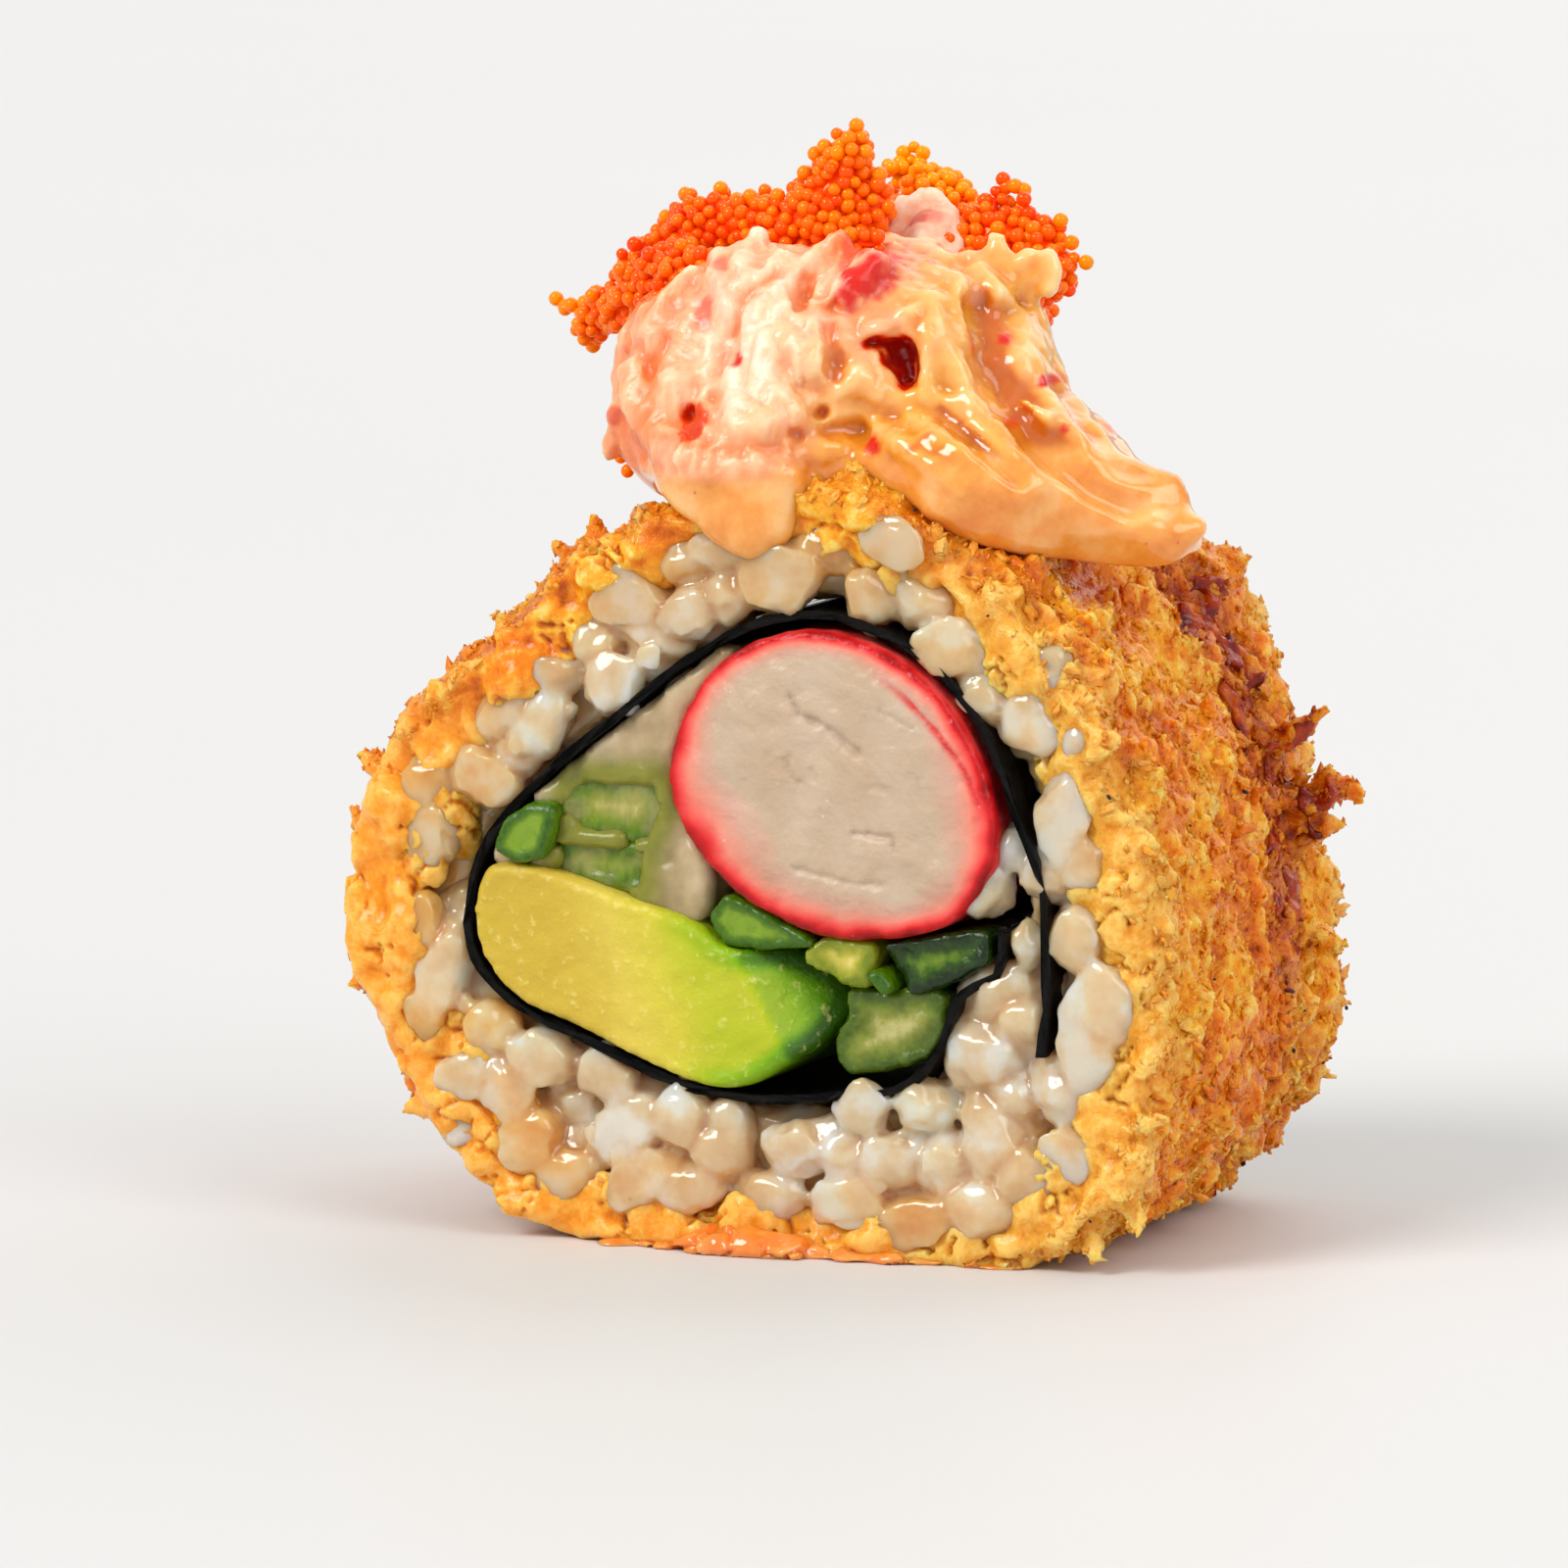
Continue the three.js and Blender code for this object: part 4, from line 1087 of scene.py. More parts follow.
def greenMaterial(name, stops, reach, vein, veil=0.0):
    # Raw cucumber or scallion: crisp and wet, darker towards its skin. Its veins are vein mm apart.
    # A veil of cheese dulls it and stretches its veins upright.
    made, tree, shader, place = newMaterial(name, {
        "Roughness": 0.24, "IOR": 1.36, "Subsurface Weight": 0.5, "Subsurface Radius": (0.7, 1.0, 0.3),
        "Subsurface Scale": 0.8 * mm, "Coat Weight": 0.25, "Coat Roughness": 0.1,
    })
    tall = addNode(tree, "Mapping", {"Vector": place, "Scale": (1, 1, 0.35 if veil else 1)})
    cells = addNode(tree, "TexNoise", {
        "Vector": tall, "Scale": perMm(vein), "Detail": 4.0, "Roughness": 0.6})
    depth = addNode(tree, "MapRange", {"Value": "rim", "From Min": 0.0, "From Max": reach})
    mixed = addNode(tree, "Math", {0: cells, 1: 0.9, 2: depth}, operation="MULTIPLY_ADD")
    mixed = addNode(tree, "Math", {0: mixed, 1: 0.45}, operation="SUBTRACT")
    colour = addNode(tree, "ValToRGB", {"Fac": mixed}, stops=stops)
    film = addNode(tree, "TexNoise", {"Vector": place, "Scale": perMm(1.6), "Detail": 3.0})
    film = addNode(tree, "ValToRGB", {"Fac": film}, stops=[(0.42, 0.0), (0.66, veil)])
    colour = addNode(tree, "Mix", {"Factor": film, "A": colour, "B": "#C2AC78"}, data_type="RGBA")
    bump = addNode(tree, "Bump", {"Height": cells, "Strength": 0.5, "Distance": 0.25 * mm})
    feed(tree, shader, {"Base Color": colour, "Normal": bump})
    return made


cheeseFill = softMesh("soft_cheese", 0.28, 0.14, 101, 0.45, 4)
finishPiece("cream_cheese_fill", cheeseFill, cheeseMaterial(), "soft_cheese", "soft_cheese")
paleCucumber = greenMaterial("cucumber_under_cheese", [
    (0.0, "#4C6E06"), (0.35, "#708A18"), (0.7, "#94983A"), (1.0, "#B8B064")], 1.5, 0.5, 0.4)
brightCucumber = greenMaterial("cucumber_cut", [
    (0.05, "#7A8A14"), (0.35, "#A6A62C"), (0.65, "#CABE54"), (1.0, "#E6D888")], 1.2, 0.7)
wetCucumber = greenMaterial("cucumber_seed_core", [
    (0.05, "#46600E"), (0.4, "#6E8020"), (0.7, "#90943E"), (1.0, "#BEB874")], 1.6, 0.7)
cucumberSkin = greenMaterial("cucumber_skin", [
    (0.05, "#122804"), (0.35, "#2A4C06"), (0.6, "#5C7E0C"), (1.0, "#98AC30")], 1.7, 0.7)
scallionGreen = greenMaterial("scallion_leaf", [
    (0.0, "#2E5600"), (0.3, "#426C02"), (0.6, "#587E08"), (1.0, "#7E9E20")], 0.5, 0.5)

for node, name, made, slot in (
    ("cucumber_upper", "cucumber_strip_upper", paleCucumber, "cucumber"),
    ("cucumber_lower", "cucumber_strip_lower", paleCucumber, "cucumber"),
    ("cucumber_flesh", "cucumber_strip_flesh", brightCucumber, "cucumber"),
    ("cucumber_core", "cucumber_strip_core", wetCucumber, "cucumber"),
    ("cucumber_rind", "cucumber_strip_rind", cucumberSkin, "cucumber"),
    ("scallion_left", "scallion_strip_left", scallionGreen, "scallion"),
    ("scallion_middle", "scallion_strip_middle", scallionGreen, "scallion"),
    ("scallion_sliver", "scallion_strip_sliver", scallionGreen, "scallion"),
):
    voxel = 0.16 if node == "scallion_sliver" else 0.2
    grow = 0.55 if made == paleCucumber else 0.25
    wave = 0.07 if slot == "scallion" else 0.12
    finishPiece(name, softMesh(node, voxel, wave, 110 + len(name), grow, 1), made, slot, node)


# Crab salad: shredded crab stick bound with mayonnaise, which runs out at its foot

# Where the roe stands, as strings of (x, y, z, radius). The salad is stained orange beneath it.
roeStrings = [
    [(0.6, -4, 51.9, 1.66), (0.6, -4, 53.6, 1.5), (1.1, -4, 54.8, 1.2), (1.6, -4, 55.9, 0.8),
     (1.9, -4, 56.8, 0.45)],
    [(-0.9, -4, 53, 1.2), (-1.9, -4.5, 52, 1)], [(2.5, -4, 52.8, 1), (2.5, -3.6, 54.3, 0.6)],
    [(2.5, -4, 53, 0.8), (3.4, -3.6, 53.6, 0.4)], [(2.7, -6.5, 51.5, 0.7), (3.8, -6, 51.6, 0.6)],
    [(-2.1, -4, 52.4, 1), (-4.2, -3.6, 52.3, 1), (-6.1, -3, 52.3, 1.2), (-8, -2, 51.9, 1.3),
     (-9.3, -1.5, 51, 1.1), (-10.7, -1, 49.9, 1), (-11.9, -0.5, 48.9, 1), (-13.2, 0, 47.9, 1),
     (-14.6, 0.5, 46.8, 0.9), (-15.3, 1, 46, 0.5)],
    [(-8.4, -1.7, 52.2, 0.8), (-8.8, -1.5, 52.9, 0.6)],
    [(-14.8, 0.8, 47, 0.6), (-15.7, 1.2, 47.1, 0.45), (-16.7, 1.5, 47.2, 0.25)],
    [(-5.3, -7, 50.7, 0.5), (-6.9, -7, 49.8, 0.6), (-7.5, -7.6, 49, 0.5), (-9.1, -6.6, 48.2, 0.4)],
    [(-6.9, -6, 50.6, 0.9), (-9, -4.6, 49.6, 0.9), (-11, -3, 48.4, 0.9), (-12.6, -1.6, 47.2, 0.8)],
    [(1.1, 6, 54.3, 0.7), (2.2, 6, 54.1, 1), (3.2, 6, 53.6, 0.8), (4.5, 5, 53.2, 0.6)],
    [(1.9, 6, 54, 0.8), (1.9, 6, 53.1, 0.7)], [(0.9, 6, 54.5, 0.4), (0.5, 6, 55.2, 0.25)],
    [(1.7, 6, 54.6, 0.4), (1.6, 6, 55.2, 0.3)], [(1.1, 6, 54.2, 0.4), (0.1, 6, 53.8, 0.4)],
    [(5.5, 1, 51, 0.8), (6.2, 1.5, 51.6, 1), (7.3, 1.5, 51.7, 1.2), (8.6, 1.5, 51.6, 1.1),
     (9.7, 1.5, 51.6, 1), (10.5, 1, 50.6, 1), (10.4, 0.5, 49.7, 0.5)],
    [(10.5, 1, 50.6, 0.7), (11.4, 1, 50.5, 0.55), (12.1, 1, 50.5, 0.35)],
    [(6.4, 1.8, 52, 0.7), (7.4, 2, 53.5, 0.5), (8, 2, 53.9, 0.3)],
    [(9, 1.5, 51.9, 0.7), (9.2, 1.5, 52.6, 0.5)], [(10.3, 1.5, 51.4, 0.6), (10.7, 1.5, 52.2, 0.4)],
    [(6.2, 0.5, 51.2, 0.7), (6.6, -1, 50.4, 0.6)],
    [(-13.5, -0.5, 40.4, 0.25), (-13.1, -0.5, 39.6, 0.3), (-12.6, -0.5, 38.9, 0.2)],
]
saladStrings = [
    # the torn shreds at the top and down the middle
    (0.5, [(1.9, -6, 51.5), (1.4, -7.3, 50.9), (0.6, -8.3, 50.3), (-0.1, -9.5, 49.5), (-0.4, -10.6, 48.2),
           (-0.4, -11.2, 46.9)]),
    (0.45, [(1.9, -6.2, 51.3), (1.9, -7, 50.3), (1.7, -8.2, 49.4)]),
    (0.45, [(-0.4, -8.2, 50.8), (-0.8, -9.3, 50.1), (-1.2, -10.3, 49)]),
    (0.5, [(-2.7, -7.8, 51.2), (-2.3, -9.3, 50.3), (-1.5, -10.2, 49.1), (-0.9, -10.9, 47.7),
           (-0.8, -11.5, 46.2)]),
    (0.6, [(-3.9, -7.9, 50.7), (-3.3, -9.7, 49.5), (-2.3, -10.7, 48.2)]),
    (0.8, [(0.4, -10.6, 47.9), (1.3, -11.2, 46.7), (2.1, -11.4, 45.5)]),
    (0.7, [(2.1, -10.2, 48.2), (2.6, -11, 46.7), (2.9, -11.4, 45.5)]),
    (0.7, [(0, -11.4, 46.7), (0.2, -12.1, 45.2), (0.2, -12.5, 44.4)]),
    (1.0, [(0.7, -12.4, 43.9), (1.4, -12.6, 43.1)]), (0.8, [(-0.3, -12.9, 43.4), (0.5, -13.6, 42.6)]),
    (0.65, [(-1.5, -12.2, 45), (-1.1, -12.9, 43.8), (-0.3, -14, 42.6)]),
    (0.35, [(0.9, -7.6, 50.6), (1.5, -7.4, 51.4), (2.2, -7.2, 52)]),
    (0.3, [(2.2, -7.4, 50.6), (2.8, -7.2, 51.2)]), (0.35, [(-2.6, -7.6, 51), (-2.2, -7.4, 51.9)]),
    (0.4, [(9.3, -3.4, 50.2), (9.5, -3.2, 51), (9.3, -3, 51.6)]),
    (0.35, [(12.2, -3, 49.2), (12.3, -2.8, 50.3), (12, -2.6, 50.9)]),
    (0.3, [(10.6, -3.2, 50.4), (11, -3, 51)]),
    # lumps and the broad fold on the left
    (0.45, [(-7.7, -9.2, 47.9), (-7.6, -9.9, 46.9)]), (0.4, [(-6.4, -10.7, 47), (-6.5, -11, 46.4)]),
    (0.4, [(-8.8, -8.8, 46.8), (-9.1, -8.9, 46.2)]),
    (0.9, [(-7.6, -10.7, 44.9), (-7, -11.5, 43.5), (-5.9, -12, 42), (-3.8, -14, 41.1)]),
    (0.9, [(-4.9, -11.9, 44.3), (-5.2, -12.2, 42.5)]),
    (0.5, [(-6.5, -11.4, 40.1), (-3.1, -14.8, 40.1), (-1.2, -14.8, 40.4), (0.6, -14.5, 40.6),
           (2.1, -13.6, 40)]),
    (0.4, [(-3.7, -14.5, 40.8), (-2, -14.8, 41.1), (-0.3, -14.7, 40.9)]),
    (0.6, [(2.6, -11.7, 40.4), (3.4, -11.3, 40.2), (4.5, -10.8, 40.8), (6.3, -11.5, 40.8)]),
    (0.5, [(2.8, -12.1, 41.3), (3.7, -11.6, 41.6)]),
    (0.6, [(3.9, -11, 44.5), (4.8, -10.7, 45), (5.7, -10.2, 44.2)]),
    (0.5, [(3, -10.1, 47.7), (3.5, -10.6, 46.6)]),
    # the red piece, the rim of the deep hole, and the folds right of it
    (0.8, [(3.5, -9.3, 49.2), (4, -8.7, 49.9), (4.3, -7.9, 50.6)]),
    (0.5, [(5.1, -9.9, 47.3), (5.9, -9.6, 47.7), (6.8, -9.2, 48.1), (7.6, -9.3, 47), (7.9, -9.5, 45.7),
           (8, -9.6, 44.5), (7, -9.9, 43.7), (5.8, -10.2, 44.2)]),
    (0.6, [(7.6, -8, 48.8), (8.1, -8.7, 47.5), (8.7, -8.9, 46.3), (9.8, -9, 44.9)]),
    (0.6, [(8.2, -6.2, 49.5), (9.2, -7.4, 48.2), (9.8, -8, 46.8)]),
    (0.6, [(8.9, -4.4, 49.9), (9.9, -5.3, 49)]),
    (0.4, [(7.9, -3.7, 50.8), (9, -3.6, 50.4), (10, -3.3, 50.4), (10.5, -2.8, 50.1)]),
    (0.5, [(7.9, -3.9, 50.2), (9, -3.9, 49.6), (10.2, -3.4, 49.4)]),
    # the pale ridge down the right edge
    (0.4, [(10.9, -3, 49.9), (10.9, -2.6, 48.4), (11.4, -2.8, 46.9), (12.2, -3, 45.4), (13.3, -3.6, 43.7),
           (15.2, -5.6, 42.5), (16.4, -6.2, 41.4)]),
    (0.45, [(10.9, -4, 47.8), (11.8, -5, 46.1), (12.9, -6.2, 44.2), (14.4, -7.6, 42.9),
            (15.6, -7.7, 41.7)]),
    # shreds that run down to the lower right
    (0.5, [(7.9, -9.7, 44.3), (9.4, -9.6, 43.3), (11.4, -10.4, 42.2), (13, -10.5, 41),
           (14.4, -10.5, 39.8)]),
    (0.5, [(7.6, -10.4, 42.8), (9.5, -11.8, 42), (11.1, -11.9, 41.1), (12.7, -11.8, 39.9),
           (13.8, -11.2, 39.2)]),
    (0.45, [(8.1, -12.1, 41.5), (9.7, -12.7, 40.6), (11, -12.7, 39.6)]),
    (0.5, [(5.9, -10.8, 42.3), (7.5, -11.9, 41.7), (8.8, -12.4, 41)]),
    (0.4, [(9.9, -9.4, 44.3), (11.6, -9.6, 43.1), (13.3, -9.9, 41.7), (14.9, -9.8, 40.5),
           (16.1, -9.4, 39.5)]),
    (0.45, [(16, -8.3, 40.9), (17.1, -6.5, 40.7), (18.1, -5.2, 40.1), (19.8, -5, 39.7)]),
    (0.4, [(16.8, -8.3, 40), (18, -7.4, 39.4), (19, -6, 39.3), (20.2, -5, 38.9)]),
    (0.4, [(16.1, -9.4, 39), (17.8, -8.3, 38.4), (18.7, -7.8, 37.8)]),
    # the piece that stands up behind, between the two heaps of roe
    (0.6, [(4, -2, 49.4), (3, -1, 50.7), (2.7, 0, 51.8), (2.9, 0.5, 53)]),
    (0.55, [(5.9, -2, 49.4), (6, -1, 50.9), (5.5, 0, 52.1), (4.8, 0.5, 53.1), (4, 0.5, 53.5)]),
    (1.1, [(4.7, -2, 49.9), (4.4, -1, 51.2)]), (0.7, [(3.9, 0, 51.7), (3.8, 0.2, 52.2)]),
    (0.4, [(5, -1.6, 50.2), (4.6, -0.8, 52.6)]),
]
dressingStrings = [
    (1.3, [(-3.4, -13.6, 39), (-1.2, -13.8, 38.3), (1.3, -13.3, 38.6), (2.4, -11.6, 39.4)]),
    (1.3, [(-1.5, -13.7, 37.6), (-0.1, -13.7, 37.1), (1.1, -13.4, 37.5)]),
    (0.9, [(-0.7, -13.9, 36.7), (0.2, -13.9, 36.5)]), (1.1, [(-5, -12, 40), (-3.4, -13.4, 39.4)]),
    (0.8, [(2.4, -12, 39.6), (4.6, -10.8, 40.2), (7.6, -11.6, 39.6), (9.5, -12, 38.8)]),
    (1.1, [(9.5, -12, 38.8), (10.5, -11.6, 38.2), (11.9, -10.8, 37.5), (13.6, -9.6, 37), (14.8, -8, 36.8),
           (16.8, -7, 36.5), (18.6, -6.6, 36.4), (19.9, -6.4, 36.5)]),
    (1.1, [(11.4, -10.8, 38.6), (13.4, -9.6, 38.2), (15.4, -8.6, 37.8), (17.6, -7.6, 37.6),
           (19.4, -7, 37.4)]),
    (0.75, [(19.9, -6.4, 36.9), (20.6, -6.2, 37.2), (21.3, -5.7, 37.5)]),
    (0.8, [(17, -6.4, 38.4), (19, -5.8, 38.2), (20.4, -5.6, 37.8)]),
]
saladLook = {
    "voxel": 0.23, "loose": 70,  # and how many loose shreds
    # holes between the shreds: x, z, half-width, half-height, depth, and how red it is inside
    "holes": [
        (5.7, 46.8, 0.95, 0.3, 1.5, 1), (6.5, 46.2, 0.72, 0.75, 2, 1), (6.9, 45.3, 0.45, 0.75, 2, 1),
        (-3.3, 43, 0.8, 0.5, 1.1, 0.7), (-2.9, 42.5, 0.5, 0.6, 1, 0.7), (3.1, 43.3, 0.35, 0.3, 0.9, 0.1),
        (2.2, 42.3, 0.3, 0.35, 0.9, 0.1), (4.3, 42.4, 1.3, 0.5, 0.6, 0),
    ],
    # valleys: the line, depth and width
    "valleys": [
        ([(9.6, 49), (10.2, 47.3), (10.9, 45.6), (12.2, 43.9), (13.6, 42.5), (15.2, 41), (17, 39.5),
          (18.6, 38.6)], 0.9, 0.55),
        ([(-0.2, 50.2), (-1.7, 48.9), (-2, 47)], 0.35, 0.3),
        ([(-2.4, 46.2), (-2.2, 45), (-2.6, 43.6)], 0.25, 0.4),
        ([(1.2, 49.9), (1.2, 48.6), (3.2, 48.6)], 0.5, 0.3),
        ([(3.2, 47.6), (3.7, 46.2), (3.7, 45.2)], 0.6, 0.3), ([(-5.9, 46.8), (-6.6, 45)], 0.25, 0.35),
        ([(-4.6, 41.9), (-1, 41.5), (2, 41.6)], 0.15, 0.3),
        ([(8.9, 43.6), (11.6, 41.8), (13.8, 40)], 0.35, 0.22), ([(7.6, 44.6), (7.4, 48)], 0.3, 0.3),
    ],
    # where the dyed outside of a shred shows: x, z, size
    "reds": [
        (4.5, 50.1, 1.3), (3.8, 49, 0.75), (-1.4, 45.9, 0.35), (5.9, 41.6, 0.5), (13.2, 44.8, 0.35),
        (10.9, 46.9, 0.3), (14.9, 42.4, 0.3),
    ],
}


def buildSalad():
    base = smoothed(skinOver(cadCopy("crab_salad"), 0.4), 6)
    heap = strandHeap(saladStrings, 0.2)
    heap.from_mesh(base)
    # short loose shreds over the rest, the hidden back too
    strings = []

    def keep(point, normal):
        return point.z > 40.5 and normal.z > -0.5 and (point.y > -6 or dice.random() < 0.3)

    for point, normal in spotsOn(base, saladLook["loose"], keep):
        way = (Vector((0.7, 0, -0.6)) if point.x > 2 else Vector((0, 0, -1))) + 0.7 * anyDirection()
        way = (way - normal * way.dot(normal)).normalized() * dice.uniform(0.8, 2)
        radius = dice.uniform(0.35, 0.75)
        strings.append((radius, [point - way, point + normal * dice.uniform(0, 0.25), point + way]))
    loose = toMesh(strandHeap(strings))
    heap.from_mesh(loose)
    dressingShape = strandHeap(dressingStrings)
    dressingTree = BVHTree.FromBMesh(dressingShape)
    runs = toMesh(dressingShape)
    heap.from_mesh(runs)

    def dressedAt(points, far, near):
        # how far the dressing covers a point: along its own runs, and low on the front
        lowFront = smoothStep(40.4, 39.4, points[:, 2] - 0.12 * np.maximum(points[:, 0], 0))
        runs = smoothStep(far, near, distances(points, dressingTree))
        return np.maximum(runs, lowFront * smoothStep(3, -3, points[:, 1]))

    mesh = smoothed(skinOver(heap, saladLook["voxel"]), 2)
    points = pointsOf(mesh)
    dressed = dressedAt(points, 0.45, 0.05)
    even = smoothed(mesh.copy(), 16)
    moveBy(mesh, (pointsOf(even) - points) * dressed[:, None])
    points = pointsOf(mesh)
    front = smoothStep(-2, -6, points[:, 1])
    deep, sunk = np.zeros(len(points)), np.zeros(len(points))
    for x, z, wide, high, depth, _ in saladLook["holes"]:
        off = np.hypot((points[:, 0] - x) / wide, (points[:, 2] - z) / high)
        deep = np.maximum(deep, depth * smoothStep(1.3, 0.7, off) * front)
    for line, depth, width in saladLook["valleys"]:
        sunk = np.maximum(sunk, depth * np.exp(-(along2d(points, line) / width) ** 2) * front)
    moveBy(mesh, deep[:, None] * [-0.25, 1, -0.1] - normalsOf(mesh) * sunk[:, None])
    inHole = np.nonzero(deep > 0.3)[0]
    holeTree = KDTree(len(inHole))
    for n, spot in enumerate(pointsOf(mesh)[inHole]):
        holeTree.insert(spot, n)
    holeTree.balance()
    # a new skin takes out the stretched walls of the holes
    shape = bmesh.new()
    shape.from_mesh(mesh)
    mesh = smoothed(skinOver(shape, saladLook["voxel"]), 2)
    points = pointsOf(mesh)
    front = smoothStep(-2, -6, points[:, 1])
    dressed = dressedAt(points, 0.5, 0.1)
    hollow, sunk = np.zeros(len(points)), np.zeros(len(points))
    crest = crestOf(mesh, 30)
    for x, z, wide, high, _, red in saladLook["holes"]:
        off = np.hypot((points[:, 0] - x) / (wide + 0.5), (points[:, 2] - z) / (high + 0.4)) * (2 - front)
        for n in np.nonzero(off < 1)[0]:
            away = holeTree.find(points[n])[2]
            hollow[n] = max(hollow[n], red * float(smoothStep(0.5, 0.2, away)))
    hollow = smoothedOver(mesh, hollow, 1)
    for line, depth, width in saladLook["valleys"]:
        sunk = np.maximum(sunk, depth * np.exp(-(along2d(points, line) / width) ** 2) * front)
    wet = smoothStep(0, 7, points[:, 0] + 0.5 * (45 - points[:, 2])) * 0.9 + 0.3 * ripple(points, 3, 122, 2)
    flow = points * np.where(points[:, :1] > 2, [[0.75, 1, 0.75]], [[1, 1, 0.55]])
    torn = (1 - dressed) * (1 - 0.7 * np.clip(wet, 0, 1))
    shreds = (0.28 * (ridges(flow, 1.5, 127) - 0.5) + 0.2 * (ridges(flow * [1, 1, 0.6], 0.8, 129) - 0.5)
              + 0.1 * ripple(points * [1, 1, 0.6], 0.5, 124, 2))
    pushOut(mesh, (1 - 0.9 * dressed) * 0.15 * ripple(flow, 1.1, 123, 2) + torn * shreds)
    points = pointsOf(mesh)
    red = np.zeros(len(points))
    for x, z, size in saladLook["reds"]:
        off = np.hypot(points[:, 0] - x, points[:, 2] - z) / size + 0.5 * ripple(points, 0.8, 125, 2)
        red = np.maximum(red, smoothStep(1.3, 0.5, off) * front)
    red = np.maximum(red, smoothStep(0.5, 0.64, ripple(points, 3.3, 126, 2)) * 0.6 * (1 - dressed))
    roeShape = strandHeap([(p[3], [p[:3], q[:3]]) for row in roeStrings for p, q in zip(row, row[1:])])
    stained = smoothStep(1.5, 0.1, distances(points, BVHTree.FromBMesh(roeShape)))
    roeShape.free()
    standing = smoothStep(3.4, 2.4, np.linalg.norm(points - [4.3, -0.4, 52.2], axis=1))
    stained = stained * (1 - 0.75 * standing)
    wet = wet * (1 - standing)
    whiter = 0.3 * np.exp(-((points[:, 0] + 0.8) / 3) ** 2 - ((points[:, 2] - 46.5) / 4.5) ** 2)
    whiter = whiter + 0.3 * standing
    # crest sets the tone: lighter on crests as painted highlight, darker in hollows and, below, in the
    # valleys as painted shade; whiter where the shreds are white, darker towards the left and the bottom
    crest = 0.6 * crestOf(mesh, 14) + 0.4 * crest + 0.7 * whiter - 0.1 * smoothStep(-4, -7, points[:, 0])
    crest = crest - 0.12 * smoothStep(44.5, 41.5, points[:, 2])
    paint(mesh, "wet", np.clip(wet, 0, 1))
    paint(mesh, "crest", np.clip(0.5 + crest / 0.75 - 0.7 * sunk, 0, 1))
    paint(mesh, "hollow", np.clip(hollow, 0, 1))
    paint(mesh, "red", np.clip(red, 0, 1))
    paint(mesh, "stained", stained * smoothStep(8, 0, points[:, 0] + 2 * ripple(points, 2, 128, 2)))
    paint(mesh, "dressed", dressed)
    return mesh


